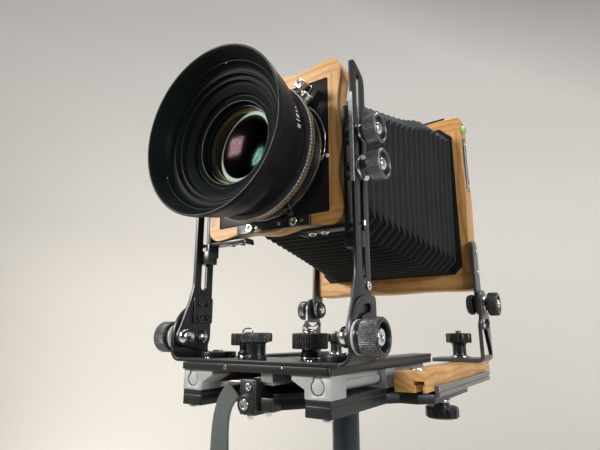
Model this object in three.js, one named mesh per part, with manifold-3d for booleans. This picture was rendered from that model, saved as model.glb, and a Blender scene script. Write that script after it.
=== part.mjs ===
// A wooden field camera for sheet film, standing on a compact tripod.
// Millimetres, +Z up. The lens looks along -Y. The origin is on the floor, under the object's middle.
// The camera's own pieces are drawn in the camera's frame: x = 0 is its middle, y = 0 is the front
// face of the front wooden frame, and z = 0 is the underside of the bed.

import * as THREE from 'three';
import { mergeVertices } from 'three/addons/utils/BufferGeometryUtils.js';
import Module from 'manifold-3d';

const wasm = await Module();
wasm.setup();

// ---------- clearances ----------
const slip = 0.3; // between faces that slide or turn on each other
const seat = 0.3; // round a piece that is fixed in a pocket

// ---------- tripod ----------
const legCount = 3;
const legSpread = THREE.MathUtils.degToRad(24);
const legLength = 520; // pivot to floor, along the leg
const pivotReach = 14; // leg pivot, outside the crown
const pivotDrop = 24; // pivots below the crown's top
const pinRadius = 4;
const tongueRadius = 10;
const tongueThickness = 16;
const lugThickness = 5;
const crownRadius = 32;
const crownHeight = 46;
const collarRadius = 24;
const collarHeight = 8;
const columnRadius = 16;
const columnShown = 100; // crown's top to the bed's underside
const columnBelow = 150; // crown's underside to the column's end
const platformRadius = 31;
const platformThickness = 14;
const screwRadius = 4.7;
const screwLength = 8;
const upperRadius = 15;
const upperWall = 2;
const lowerShown = 90; // upper tube's end to the floor, along the leg
const sleeveGap = 1.5; // lower tube inside the upper one
const lowerWall = 2;
const lowerStart = 90;
const lockWall = 4.5; // outside the upper tube
const lockLength = 42;
const footRadius = 18;
const footLength = 34;
const clampKnobRadius = 17;
const clampBoss = 12; // outside the crown

// ---------- camera: bed ----------
const screwY = 154; // tripod screw, behind the front frame's face
const plateThickness = 9.3;
const deckThickness = 5.1;
const deckHalf = 84;
const wingHalf = 125;
const wingPadThickness = 2.7;
const bedFront = -27;
const bedBack = 240;
const recessDepth = 39;
const housingWidth = 25;
const housingHeight = 18.3;
const housingLength = 26.3;
const bulbRadius = 6.5;
const bulbNeck = 8;
const bulbGap = 0.8; // over the pinion's shaft
const focusPlateThickness = 6.7;
const focusHalf = 84.7;
const focusFront = -30;
const focusBack = 226;
const focusRailWidth = 22;
const focusRailHeight = 3.6;
const focusRailStart = 52;
const focusTravel = 110;
const guideStart = 84;
const guideLength = 24;
const gearModule = 1.25;
const pinionTeeth = 16;
const pinionY = 60;
const gearFaceX = 17.5;
const gearWidth = 13;
const shaftRadius = 3;
const shaftZ = 13.5;
const bearingRight = 28; // plain bearings of the pinion's shaft
const bearingLeft = -52;
const bearingLength = 6;
const focusKnobRadius = 12;
const focusKnobStart = 118;
const focusKnobLength = 18;
const railInner = 94;
const knobRoom = 7.5; // focusing knob to the wooden rail
const railBack = 360;
const railHeight = 19;
const slotEdge = 6.6; // slot's middle to the rail's outer edge
const insertEdge = 16; // stud's middle to the rail's outer edge
const insertY = 106;
const slotNeck = 7.3;
const slotHead = 10.9;
const slotNeckHeight = 6.4;
const slotHeadHeight = 4;
const stripWidth = 5;
const stripHeight = 11;
const keyStart = 120;
const keyLength = 60;
const lockKnobY = 146;
const strapWidth = 18;
const strapThickness = 2.4;
const strapTwist = THREE.MathUtils.degToRad(30);

// ---------- camera: front standard ----------
const bracketThickness = 3.3;
const bracketFront = -28.8;
const armBack = 22;
const bracketBack = 35;
const pivotY = 7;
const pivotRise = 20.5; // tilt pivot over the bracket's base
const footTaper = 50; // upright's foot narrows to this height over the pivot
const armRadius = 35.8;
const clampRadius = 24.5; // clamp bolt round the base tilt pivot
const boltRadius = 3.7;
const swingY = -18; // swing pivot
const swingKnobX = 38.3;
const swingKnobY = 15;
const swingAngle = THREE.MathUtils.degToRad(15);
const swingDiscX = 74;
const swingDiscRadius = 19;
const uprightThickness = 3.7;
const uprightFront = -6.5;
const uprightBack = 20.5;
const uprightPeak = 329.3;
const slotBottom = 114.3;
const slotTop = 316.3;
const riseSlotY = 7;
const knobPitch = 36;
const knobLowerZ = 217.3;
const riseKnobRadius = 14.5;
const tiltKnobRadius = 16;
const frameHalf = 85;
const frameBottom = 166.3;
const frameMargin = 33; // frame's height less the board's
const frameDepth = 20;
const frameDip = 4.2;
const boardWidth = 140;
const boardHeight = 141;
const boardThickness = 4.5;
const boardDrop = 3.5; // board's middle under the frame's
const boardInset = 0.5;
const boardLedge = 10.5; // width that the board rests on
const latchLeft = -41;
const latchRight = 50;
const latchScrew = 1.7;
const latchWall = 1;
const latchScrewX = [-23, 32];
const latchThickness = 3.7;
const latchTravel = 4;
const carrierThickness = 4;
const carrierGap = 12; // wooden frame's side to the upright
const carrierTop = 285;
const scaleBottom = 201;
const scaleTop = 291;

// ---------- lens ----------
const lensDrop = 5.5; // lens axis under the board's middle
const latchGap = 2; // latch to the shutter's rim
const shutterDepth = 26.5;
const boreRadius = 34;
const nutWidth = 7; // retaining ring behind the board
const nutGap = 2.5;
const ringRadius = 72;
const ringGap = 0.6; // speed ring outside the cell's thread
const ringDepth = 8.6;
const ringTeeth = 26;
const barrelRadius = 66;
const barrelFront = 58;
const hoodFront = 94.8;
const hoodRadius = 80.4;
const glassRadius = 43.2;
const rearCellRadius = 40;
const rearCellLength = 42;
const socketRadius = 6;
const socketReach = 15; // beyond the shutter's rim
const socketAngle = THREE.MathUtils.degToRad(40);
const leverReach = 22; // beyond the shutter's rim
const leverHalf = 4.5;
const leverGap = 1.2; // to the socket

// ---------- camera: rear standard ----------
const rearFront = 303.2;
const rearDepth = 30;
const rearHalf = 127.9;
const rearRise = 20.9; // frame's underside over the tilt pivot
const rearHeight = 264.6;
const rearDip = 4;
const rearOpening = 200;
const armWidth = 24;
const armThickness = 4;
const armLength = 89.7; // over the tilt pivot
const rearPivotY = 300;
const rearPivotZ = 106.3;
const rearPlate = 5;
const footInner = 71;
const footAhead = 16;
const footBehind = 22;
const starInset = 4; // knob's axis from the rail's inner edge
const starY = 310;
const starRadius = 17.5;
const backSize = 216;
const backDepth = 16;
const glassWidth = 186;
const glassHeight = 136;
const glassThickness = 3;
const levelRadius = 5.5;

// ---------- bellows ----------
const bellowsFront = 133;
const bellowsRearWidth = 225;
const bellowsRearHeight = 221;
const bellowsPleats = 21;
const pleatDepth = 9;
const bellowsWall = 1.5;

// ---------- heights worked out from the thicknesses ----------
const pivotRadius = crownRadius + pivotReach;
const lowerRadius = upperRadius - upperWall - sleeveGap;
const lockRadius = upperRadius + lockWall;
const deckTop = plateThickness + deckThickness;
const wingTop = plateThickness + wingPadThickness;
const housingTop = deckTop + housingHeight;
const focusBottom = housingTop + slip;
const focusTop = focusBottom + focusPlateThickness;
const bracketBottom = focusTop + slip;
const bracketTop = bracketBottom + bracketThickness;
const railBottom = wingTop + slip;
const railTop = railBottom + railHeight;
const slotX = wingHalf - slotEdge;
const starX = railInner + starInset;
const bulbZ = shaftZ + shaftRadius + bulbGap + bulbRadius;
const railFront = pinionY + focusKnobRadius + knobRoom;
const pivotZ = bracketTop + pivotRise;
const knobUpperZ = knobLowerZ + knobPitch;
const frameHeight = boardHeight + frameMargin;
const frameTop = frameBottom + frameHeight;
const frameZ = frameBottom + frameHeight / 2;
const boardZ = frameZ - boardDrop;
const lensZ = boardZ - lensDrop;
const frameOpening = boardHeight - 2 * boardLedge;
const latchSlot = latchScrew + slip; // half the slot's width
const latchHeight = 2 * (latchSlot + latchTravel / 2 + latchWall);
const latchZ = frameBottom + 7;
const shutterRadius = lensZ - latchZ - latchHeight / 2 - latchGap;
const nutRadius = frameOpening / 2 - lensDrop - nutGap;
const mountRadius = nutRadius - nutWidth;
const socketDepth = shutterDepth - socketRadius - 0.5;
const leverAngle = socketAngle + Math.asin((socketRadius + leverHalf + leverGap) / shutterRadius);
const rearBottom = rearPivotZ + rearRise;
const rearTop = rearBottom + rearHeight;
const rearZ = (rearBottom + rearTop) / 2;
const armTop = rearPivotZ + armLength;
const uprightInner = frameHalf + carrierGap;
const uprightOuter = uprightInner + uprightThickness;
const bracketHalf = uprightOuter + slip + bracketThickness;
const clampY = pivotY - clampRadius;
const pivotHeight = legLength * Math.cos(legSpread);
const crownTop = pivotHeight + pivotDrop;
const bedHeight = crownTop + columnShown;
const upperEnd = legLength - lowerShown;
const footReach = pivotRadius + legLength * Math.sin(legSpread) + footRadius / Math.cos(legSpread);
const columnY = (footReach - railBack + screwY) / 2; // puts the origin midway between front foot and rails

// ---------- materials ----------
function finish(color, roughness, metalness) {
  return new THREE.MeshStandardMaterial({ color, roughness, metalness });
}
const wood = finish('#c8975c', 0.55, 0);
const blackMetal = finish('#1f2122', 0.45, 0.6);
const rawAluminium = finish('#8d918f', 0.5, 0.9);
const chrome = finish('#c6c8c8', 0.2, 1);
const ringMetal = finish('#a99a84', 0.35, 0.9);
const lensBlack = finish('#16181a', 0.5, 0.2);
const coatedGlass = finish('#16221f', 0.05, 0);
const frostedGlass = finish('#b9c0bd', 0.7, 0);
const pleatedCloth = finish('#1d1f20', 0.85, 0);
const webbing = finish('#56625c', 0.9, 0);
const levelGreen = finish('#7fa35a', 0.3, 0);

// ---------- closed geometry to solids and back ----------
function signedVolume(positions, index) {
  const a = new THREE.Vector3();
  const b = new THREE.Vector3();
  const c = new THREE.Vector3();
  let volume = 0;
  for (let i = 0; i < index.length; i += 3) {
    a.fromArray(positions, 3 * index[i]);
    b.fromArray(positions, 3 * index[i + 1]);
    c.fromArray(positions, 3 * index[i + 2]);
    volume += a.dot(b.cross(c));
  }
  return volume / 6;
}

function solid(shape) {
  if (!shape.isBufferGeometry) return shape;
  const bare = new THREE.BufferGeometry();
  bare.setAttribute('position', shape.attributes.position.clone());
  if (shape.index) bare.setIndex(shape.index.clone());
  const merged = mergeVertices(bare, 1e-4);
  const index = merged.index.array;
  const kept = [];
  for (let i = 0; i < index.length; i += 3) {
    const [a, b, c] = [index[i], index[i + 1], index[i + 2]];
    if (a !== b && b !== c && a !== c) kept.push(a, b, c);
  }
  const vertProperties = merged.attributes.position.array;
  if (signedVolume(vertProperties, kept) < 0) kept.reverse();
  return new wasm.Manifold(new wasm.Mesh({
    numProp: 3,
    vertProperties,
    triVerts: Uint32Array.from(kept),
  }));
}

function join(...shapes) {
  return shapes.map(solid).reduce((whole, next) => whole.add(next));
}

function cut(body, ...tools) {
  return tools.map(solid).reduce((whole, tool) => whole.subtract(tool), solid(body));
}

function common(...shapes) {
  return shapes.map(solid).reduce((whole, next) => whole.intersect(next));
}

// side 1 keeps the shape, side -1 mirrors it across x = 0
function piece(parent, name, shape, material, side = 1) {
  const mesh = solid(shape).getMesh();
  const positions = Float32Array.from(mesh.vertProperties);
  const index = Uint32Array.from(mesh.triVerts);
  if (side < 0) {
    for (let i = 0; i < positions.length; i += 3) positions[i] = -positions[i];
    index.reverse();
  }
  const geometry = new THREE.BufferGeometry();
  geometry.setAttribute('position', new THREE.BufferAttribute(positions, 3));
  geometry.setIndex(new THREE.BufferAttribute(index, 1));
  geometry.computeVertexNormals();
  const node = new THREE.Mesh(geometry, material);
  node.name = name;
  parent.add(node);
  return node;
}

// ---------- outlines ----------
function outline(points) {
  return new THREE.Shape(points.map(([u, v]) => new THREE.Vector2(u, v)));
}

function rectangle(u0, u1, v0, v1) {
  return outline([[u0, v0], [u1, v0], [u1, v1], [u0, v1]]);
}

function roundedBox(u, v, width, height, radius) {
  const shape = new THREE.Shape();
  const a = width / 2 - radius;
  const b = height / 2 - radius;
  shape.absarc(u + a, v + b, radius, 0, Math.PI / 2, false);
  shape.absarc(u - a, v + b, radius, Math.PI / 2, Math.PI, false);
  shape.absarc(u - a, v - b, radius, Math.PI, 1.5 * Math.PI, false);
  shape.absarc(u + a, v - b, radius, 1.5 * Math.PI, 2 * Math.PI, false);
  return shape;
}

// a slot with round ends that runs along v
function straightSlot(u, v0, v1, radius) {
  const shape = new THREE.Shape();
  shape.absarc(u, v1 - radius, radius, 0, Math.PI, false);
  shape.absarc(u, v0 + radius, radius, Math.PI, 2 * Math.PI, false);
  return shape;
}

// a slot with round ends that follows an arc round (u, v)
function arcSlot(u, v, radius, from, to, halfWidth) {
  const shape = new THREE.Shape();
  shape.absarc(u, v, radius + halfWidth, from, to, false);
  const end = [u + radius * Math.cos(to), v + radius * Math.sin(to)];
  shape.absarc(end[0], end[1], halfWidth, to, to + Math.PI, false);
  shape.absarc(u, v, radius - halfWidth, to, from, true);
  const start = [u + radius * Math.cos(from), v + radius * Math.sin(from)];
  shape.absarc(start[0], start[1], halfWidth, from + Math.PI, from + 2 * Math.PI, false);
  return shape;
}

// teeth or flutes: count crests at the outer radius, with flat tops and valleys
function toothed(count, outer, inner, crest = 0.25, phase = 0) {
  const points = [];
  for (let i = 0; i < count; i += 1) {
    const middle = phase + (2 * Math.PI * i) / count;
    const step = (2 * Math.PI) / count;
    const flank = 0.14;
    const corners = [[outer, -crest], [outer, crest], [inner, crest + flank], [inner, 1 - flank - crest]];
    for (const [radius, share] of corners) {
      points.push([radius * Math.cos(middle + share * step), radius * Math.sin(middle + share * step)]);
    }
  }
  return outline(points);
}

// a knurled edge: crests and valleys alternate
function knurled(count, outer, inner) {
  const points = [];
  for (let i = 0; i < 2 * count; i += 1) {
    const radius = i % 2 ? inner : outer;
    points.push([radius * Math.cos((Math.PI * i) / count), radius * Math.sin((Math.PI * i) / count)]);
  }
  return outline(points);
}

// a carved frame's outline: each side swells at its corners and its middle and dips between them
function carved(halfWidth, halfHeight, v, dip, corner) {
  const points = [];
  const steps = 8;
  const turn = ([a, b], k) => [[a, b], [-b, a], [-a, -b], [b, -a]][k];
  for (let side = 0; side < 4; side += 1) {
    const along = side % 2 ? halfWidth : halfHeight;
    const out = side % 2 ? halfHeight : halfWidth;
    for (let i = 0; i <= steps; i += 1) {
      const t = -1 + (2 * i) / steps;
      const inset = dip * Math.sin(Math.PI * t) ** 2;
      points.push(turn([out - inset, t * (along - corner)], side));
    }
  }
  return outline(points.map(([a, b]) => [a, b + v]));
}

// ---------- solids from outlines ----------
function extruded(shape, depth, curveSegments) {
  return new THREE.ExtrudeGeometry(shape, { depth, curveSegments, bevelEnabled: false });
}

// an outline in x and y, between two heights
function flat(shape, z0, z1, curveSegments = 3) {
  return extruded(shape, z1 - z0, curveSegments).translate(0, 0, z0);
}

// an outline in y and z, between two x values
function sideways(shape, x0, x1, curveSegments = 3) {
  const axes = new THREE.Matrix4().makeBasis(
    new THREE.Vector3(0, 1, 0),
    new THREE.Vector3(0, 0, 1),
    new THREE.Vector3(1, 0, 0),
  );
  return extruded(shape, x1 - x0, curveSegments).applyMatrix4(axes).translate(x0, 0, 0);
}

// an outline in x and z, between two y values
function standing(shape, y0, y1, curveSegments = 3) {
  return extruded(shape, y1 - y0, curveSegments).rotateX(Math.PI / 2).translate(0, y1, 0);
}

function block(x0, x1, y0, y1, z0, z1) {
  const size = new THREE.BoxGeometry(x1 - x0, y1 - y0, z1 - z0);
  return size.translate((x0 + x1) / 2, (y0 + y1) / 2, (z0 + z1) / 2);
}

// a profile of [radius, height] turned round Z
function turned(profile, segments = 16) {
  const points = profile.map(([radius, height]) => new THREE.Vector2(radius, height));
  return new THREE.LatheGeometry(points, segments).rotateX(Math.PI / 2);
}

function rodZ(radius, x, y, z0, z1, segments = 12) {
  const rod = new THREE.CylinderGeometry(radius, radius, z1 - z0, segments).rotateX(Math.PI / 2);
  return rod.translate(x, y, (z0 + z1) / 2);
}

function rodY(radius, x, y0, y1, z, segments = 12) {
  const rod = new THREE.CylinderGeometry(radius, radius, y1 - y0, segments);
  return rod.translate(x, (y0 + y1) / 2, z);
}

function rodX(radius, x0, x1, y, z, segments = 12) {
  const rod = new THREE.CylinderGeometry(radius, radius, x1 - x0, segments).rotateZ(Math.PI / 2);
  return rod.translate((x0 + x1) / 2, y, z);
}

// a clamp knob along +Z: its washer bears on z = 0, its stem points down
function knob({ radius, length, washer, neck, neckLength, stem, stemLength, flutes = 11, head = 5 }) {
  const washerTop = 2.4;
  const bodyStart = washerTop + neckLength;
  const top = bodyStart + length;
  const recess = Math.min(3, length / 3);
  const rim = flat(knurled(flutes, radius, radius - 1), bodyStart, top);
  const core = turned([
    [0, -stemLength],
    [stem, -stemLength],
    [stem, 0],
    [washer, 0],
    [washer, washerTop],
    [neck, washerTop],
    [neck, bodyStart + 1],
    [0, bodyStart + 1],
  ], 12);
  const cup = rodZ(radius * 0.72, 0, 0, top - recess, top + 1, 12);
  const screw = rodZ(head, 0, 0, top - recess - 1, top - 0.4, 6);
  return join(cut(join(rim, core), cup), screw);
}

// ---------- tripod ----------
function crown() {
  const hub = turned([
    [columnRadius + slip, -crownHeight],
    [crownRadius - 4, -crownHeight],
    [crownRadius, -crownHeight + 4],
    [crownRadius, -collarHeight],
    [collarRadius, -collarHeight],
    [collarRadius, 0],
    [columnRadius + slip, 0],
    [columnRadius + slip, -crownHeight],
  ], 16);
  const lugs = [];
  for (let i = 0; i < legCount; i += 1) lugs.push(legLug(i));
  const clampEnd = crownRadius + clampBoss;
  const boss = rodX(11, columnRadius + 6, clampEnd, 0, -pivotDrop).rotateZ(clampAzimuth());
  const bore = rodX(pinRadius + slip, columnRadius - 2, clampEnd + 8, 0, -pivotDrop).rotateZ(clampAzimuth());
  return cut(join(hub, ...lugs, boss), bore, rodZ(columnRadius + slip, 0, 0, -crownHeight - 1, 1, 16));
}

function legAzimuth(i) {
  return -Math.PI / 2 + (2 * Math.PI * i) / legCount;
}

// between two legs, at the back
function clampAzimuth() {
  return legAzimuth(Math.floor(legCount / 2)) + Math.PI / legCount;
}

// two ears and the pin between them, for one leg
function legLug(i) {
  const shape = new THREE.Shape();
  shape.moveTo(crownRadius - 6, -tongueRadius - 6);
  shape.absarc(pivotRadius, 0, tongueRadius, -Math.PI / 2, Math.PI / 2, false);
  shape.lineTo(crownRadius - 6, tongueRadius + 4);
  const inner = tongueThickness / 2 + slip;
  const ears = [inner, -inner - lugThickness].map((y) => standing(shape, y, y + lugThickness));
  const pin = rodY(pinRadius, pivotRadius, -inner - lugThickness - 1.5, inner + lugThickness + 1.5, 0, 12);
  return [...ears, pin]
    .map((part) => part.rotateZ(legAzimuth(i)).translate(0, 0, -pivotDrop))
    .reduce((whole, part) => join(whole, part));
}

function column() {
  const top = columnShown;
  const underside = top - platformThickness;
  const end = -crownHeight - columnBelow;
  return turned([
    [0, top + screwLength],
    [screwRadius, top + screwLength],
    [screwRadius, top],
    [platformRadius, top],
    [platformRadius, underside + 3],
    [platformRadius - 5, underside],
    [columnRadius, underside],
    [columnRadius, end + 6],
    [columnRadius + 2, end + 4],
    [columnRadius + 2, end],
    [0, end],
  ], 16);
}

function columnClamp() {
  return knob({
    radius: clampKnobRadius,
    length: 15,
    washer: 11,
    neck: 8,
    neckLength: 3,
    stem: pinRadius,
    stemLength: crownRadius + clampBoss - columnRadius - slip,
  });
}

// leg pieces: pivot at the origin, leg along -Z, +X outward
function legUpper() {
  const heelReach = pivotRadius - crownRadius - slip;
  const level = ([out, up]) => [
    out * Math.cos(legSpread) + up * Math.sin(legSpread),
    -out * Math.sin(legSpread) + up * Math.cos(legSpread),
  ];
  const tongue = new THREE.Shape();
  tongue.absarc(0, 0, tongueRadius, 0, Math.PI, false);
  tongue.lineTo(-tongueRadius, -34);
  tongue.lineTo(tongueRadius, -34);
  const heel = outline([[-heelReach, -2], [0, -5], [0, 8], [-heelReach, 6]].map(level));
  const half = tongueThickness / 2;
  const cap = tongueRadius + 18;
  const tube = turned([
    [0, -cap],
    [upperRadius - 4, -cap],
    [upperRadius, -cap - 4],
    [upperRadius, -upperEnd],
    [upperRadius - upperWall, -upperEnd],
    [upperRadius - upperWall, -cap - 10],
    [0, -cap - 10],
  ], 16);
  const top = join(standing(tongue, -half, half), standing(heel, -half, half), tube);
  return cut(top, rodY(pinRadius + slip, 0, -half - 1, half + 1, 0, 12));
}

function legLock() {
  const bottom = -upperEnd - lockLength / 2;
  const grip = flat(knurled(12, lockRadius, lockRadius - 1.5), bottom, bottom + lockLength);
  const upperBore = rodZ(upperRadius + slip, 0, 0, -upperEnd - slip, 0, 20);
  const lowerBore = rodZ(lowerRadius + slip, 0, 0, -legLength, 0, 20);
  return cut(grip, upperBore, lowerBore);
}

function legLower() {
  const ankle = legLength - footLength;
  const tube = turned([
    [0, -ankle],
    [lowerRadius - lowerWall, -ankle],
    [lowerRadius - lowerWall, -lowerStart],
    [lowerRadius, -lowerStart],
    [lowerRadius, -ankle - 2],
    [footRadius - 3, -ankle - 5],
    [footRadius, -ankle - 14],
    [footRadius, -legLength - footRadius],
    [0, -legLength - footRadius],
  ], 16);
  const reach = 4 * footRadius;
  const ground = block(-reach, reach, -reach, reach, -2 * reach, 0);
  ground.rotateY(legSpread).translate(0, 0, -legLength);
  return cut(tube, ground);
}

function buildTripod() {
  const tripod = new THREE.Group();
  const head = new THREE.Group();
  head.position.z = crownTop;
  tripod.add(head);
  piece(head, 'tripod_crown', crown(), blackMetal);
  piece(head, 'column', column(), blackMetal);
  const back = new THREE.Group();
  back.rotation.z = clampAzimuth();
  head.add(back);
  const clamp = piece(back, 'column_clamp', columnClamp(), blackMetal);
  clamp.position.set(crownRadius + clampBoss, 0, -pivotDrop);
  clamp.rotation.y = Math.PI / 2;
  for (let i = 0; i < legCount; i += 1) {
    const azimuth = new THREE.Group();
    azimuth.rotation.z = legAzimuth(i);
    tripod.add(azimuth);
    const leg = new THREE.Group();
    leg.position.set(pivotRadius, 0, pivotHeight);
    leg.rotation.y = -legSpread;
    azimuth.add(leg);
    piece(leg, `leg_upper_${i + 1}`, legUpper(), blackMetal);
    piece(leg, `leg_lock_${i + 1}`, legLock(), blackMetal);
    piece(leg, `leg_lower_${i + 1}`, legLower(), rawAluminium);
  }
  return tripod;
}

// ---------- bed ----------
function bedOutline() {
  const recess = bedFront + recessDepth;
  const right = [
    [18, bedFront + 12],
    [35, recess],
    [deckHalf - housingWidth, recess],
    [deckHalf - housingWidth, bedFront],
    [deckHalf, bedFront],
    [deckHalf, railFront + 2],
    [railInner, railFront + 14],
    [wingHalf - 14, railFront + 14],
    [wingHalf, railFront + 26],
    [wingHalf, bedBack - 10],
    [wingHalf - 10, bedBack],
  ];
  const left = right.map(([x, y]) => [-x, y]).reverse();
  return outline([...right, ...left]);
}

function bedPlate() {
  const gearReach = gearModule * (pinionTeeth / 2 + 2);
  const gearSide = gearWidth / 2 + 2;
  const plate = flat(bedOutline(), 0, plateThickness);
  const inner = flat(rectangle(-deckHalf, deckHalf, bedFront - 1, bedBack - 10), 0, deckTop);
  const deck = common(flat(bedOutline(), plateThickness, deckTop), inner);
  const parts = [plate, deck];
  for (const side of [-1, 1]) {
    parts.push(wingPad(side), slidingKey(side), guideBlock(side));
    parts.push(rodZ(5, side * (deckHalf - 8), bedFront + 8, -2.5, 1, 12));
  }
  parts.push(shaftBearing(bearingRight, bearingLength), shaftBearing(bearingLeft, bearingLength));
  const tools = [
    rodZ(screwRadius + slip, 0, screwY, -1, screwLength + 1),
    block(gearFaceX - gearSide, gearFaceX + gearSide, pinionY - gearReach, pinionY + gearReach, -1,
      deckTop + 1),
    rodX(shaftRadius + slip, -deckHalf, deckHalf, pinionY, shaftZ),
  ];
  for (const side of [-1, 1]) tools.push(rodZ(3 + slip, side * slotX, lockKnobY, -1, 7, 12));
  return cut(join(...parts), ...tools);
}

function wingPad(side) {
  const a = side > 0 ? railInner : -wingHalf + 6;
  return block(a, a + wingHalf - 6 - railInner, railFront + 28, bedBack - 12, plateThickness - 1, wingTop);
}

// the tongue that the wooden rail's slot rides on
function slidingKey(side) {
  const neck = slotNeck / 2 - slip;
  const head = slotHead / 2 - slip;
  const neckTop = railBottom + slotNeckHeight + slip;
  const headTop = railBottom + slotNeckHeight + slotHeadHeight - slip;
  const x = side * slotX;
  return join(
    block(x - neck, x + neck, keyStart, keyStart + keyLength, wingTop - 1, neckTop + 1),
    block(x - head, x + head, keyStart, keyStart + keyLength, neckTop, headTop),
  );
}

// the front housing's section: a block with a round channel open at its top
function housingSection(x) {
  const half = housingWidth / 2;
  const radius = bulbRadius + slip;
  const neck = bulbNeck / 2 + slip;
  const mouth = Math.asin(neck / radius);
  const shape = new THREE.Shape();
  shape.moveTo(x + half, deckTop);
  shape.lineTo(x + half, housingTop);
  shape.lineTo(x + neck, housingTop);
  shape.absarc(x, bulbZ, radius, Math.PI / 2 - mouth, Math.PI / 2 + mouth, true);
  shape.lineTo(x - neck, housingTop);
  shape.lineTo(x - half, housingTop);
  shape.lineTo(x - half, deckTop);
  return shape;
}

function channelX() {
  return deckHalf - housingWidth / 2;
}

function railHousing() {
  return standing(housingSection(channelX()), bedFront, bedFront + housingLength, 6);
}

function guideBlock(side) {
  return standing(housingSection(side * channelX()), guideStart, guideStart + guideLength, 5);
}

function rackPitchZ() {
  return shaftZ + (gearModule * pinionTeeth) / 2;
}

function shaftBearing(x, width) {
  return block(x, x + width, pinionY - 7, pinionY + 7, deckTop - 1, shaftZ + shaftRadius + 4);
}

function focusBed() {
  const plate = flat(roundedBox(0, (focusFront + focusBack) / 2, 2 * focusHalf, focusBack - focusFront, 3),
    focusBottom, focusTop, 2);
  const parts = [plate];
  for (const side of [-1, 1]) {
    const x = side * channelX();
    const rail = focusHalf - focusRailWidth;
    parts.push(rodY(bulbRadius, x, bedFront + 1, focusBack - 4, bulbZ, 12));
    const neck = bulbNeck / 2;
    parts.push(block(x - neck, x + neck, bedFront + 1, focusBack - 4, bulbZ, focusBottom + 1));
    const inner = side > 0 ? rail : -focusHalf;
    parts.push(block(inner, inner + focusRailWidth, focusRailStart, focusBack, focusTop - 1,
      focusTop + focusRailHeight));
  }
  const tools = [rodZ(boltRadius + slip, 0, swingY, focusBottom + 1, focusTop + 1, 12)];
  for (const side of [-1, 1]) {
    tools.push(rodZ(boltRadius + slip, side * swingKnobX, swingKnobY, focusBottom + 1, focusTop + 1, 12));
  }
  return cut(join(...parts), ...tools);
}

// a straight rack with its teeth down, under the focusing bed
function focusRack() {
  const pitch = Math.PI * gearModule;
  const back = pinionY + focusTravel + 20;
  const count = Math.floor((back - bedFront - 2) / pitch);
  const first = pinionY - pitch * Math.floor((pinionY - bedFront - 4) / pitch);
  const root = rackPitchZ() + 1.25 * gearModule;
  const tip = rackPitchZ() - gearModule;
  const points = [[first - pitch / 2, focusBottom], [first - pitch / 2, root]];
  for (let i = 0; i < count; i += 1) {
    const gap = first + i * pitch;
    points.push([gap + 0.17 * pitch, root]);
    points.push([gap + 0.36 * pitch, tip], [gap + 0.64 * pitch, tip]);
    points.push([gap + 0.83 * pitch, root]);
  }
  points.push([first + count * pitch, root], [first + count * pitch, focusBottom]);
  const half = gearWidth / 2;
  return sideways(outline(points), gearFaceX - half, gearFaceX + half);
}

function focusPinion() {
  const pitchRadius = (gearModule * pinionTeeth) / 2;
  const tip = pitchRadius + gearModule * 0.9;
  const root = pitchRadius - gearModule * 1.2;
  const teeth = toothed(pinionTeeth, tip, root, 0.11, Math.PI / 2);
  const half = gearWidth / 2 - 0.5;
  const gear = sideways(teeth, gearFaceX - half, gearFaceX + half);
  const knobBody = flat(knurled(11, focusKnobRadius, focusKnobRadius - 1), 0, focusKnobLength);
  knobBody.rotateY(-Math.PI / 2).translate(-focusKnobStart, 0, 0);
  const shaft = rodX(shaftRadius, -focusKnobStart - 2, gearFaceX + 18, 0, 0, 12);
  const hub = rodX(6, -focusKnobStart, -focusKnobStart + 6, 0, 0, 12);
  return join(gear, shaft, hub, knobBody);
}

// wooden side rail with its T-slot and the metal strip along its outer edge
function sideRail() {
  const neck = slotNeck / 2;
  const head = slotHead / 2;
  const neckTop = railBottom + slotNeckHeight;
  const headTop = neckTop + slotHeadHeight;
  const section = outline([
    [railInner, railBottom],
    [slotX - neck, railBottom],
    [slotX - neck, neckTop],
    [slotX - head, neckTop],
    [slotX - head, headTop],
    [slotX + head, headTop],
    [slotX + head, neckTop],
    [slotX + neck, neckTop],
    [slotX + neck, railBottom],
    [wingHalf, railBottom],
    [wingHalf, railTop],
    [railInner, railTop],
  ]);
  const stripTop = railBottom + 5;
  const strip = outline([
    [wingHalf + slip, stripTop - stripHeight],
    [wingHalf + stripWidth, stripTop - stripHeight],
    [wingHalf + stripWidth, stripTop],
    [wingHalf - 0.5, stripTop],
    [wingHalf - 0.5, railBottom + 0.5],
    [wingHalf + slip, railBottom + 0.5],
  ]);
  const insert = turned([[0, -6], [8, -6], [8, 0.6], [6.5, 1.8], [0, 2.4]], 12);
  insert.translate(wingHalf - insertEdge, insertY, railTop);
  const body = join(
    standing(section, railFront, railBack),
    standing(strip, railFront + 26, railBack - 26),
    insert,
  );
  return cut(body, rodZ(3 + slip, starX, starY, railTop - 10, railTop + 1, 12));
}

function railLockKnob() {
  return knob({
    radius: 17,
    length: 11,
    washer: 9,
    neck: 8,
    neckLength: 4.3,
    stem: 3,
    stemLength: 6,
  });
}

function strapBlock() {
  const front = bedFront - 3;
  const back = bedFront + 12;
  const body = block(-8, gearFaceX - gearWidth / 2 - 1, front, back, -2.7, 27);
  const disk = rodY(8.6, 0, front - 3, front + 1, 6.2, 16);
  const hex = rodY(4.6, 0, front - 4.5, front - 2, 6.2, 6);
  const screw = rodY(3.2, 2, front - 1.2, front + 1, 20.5, 12);
  const ends = rodZ(2.5, 1, front + 8, -7, -2, 8);
  return join(body, disk, hex, screw, ends);
}

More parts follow.
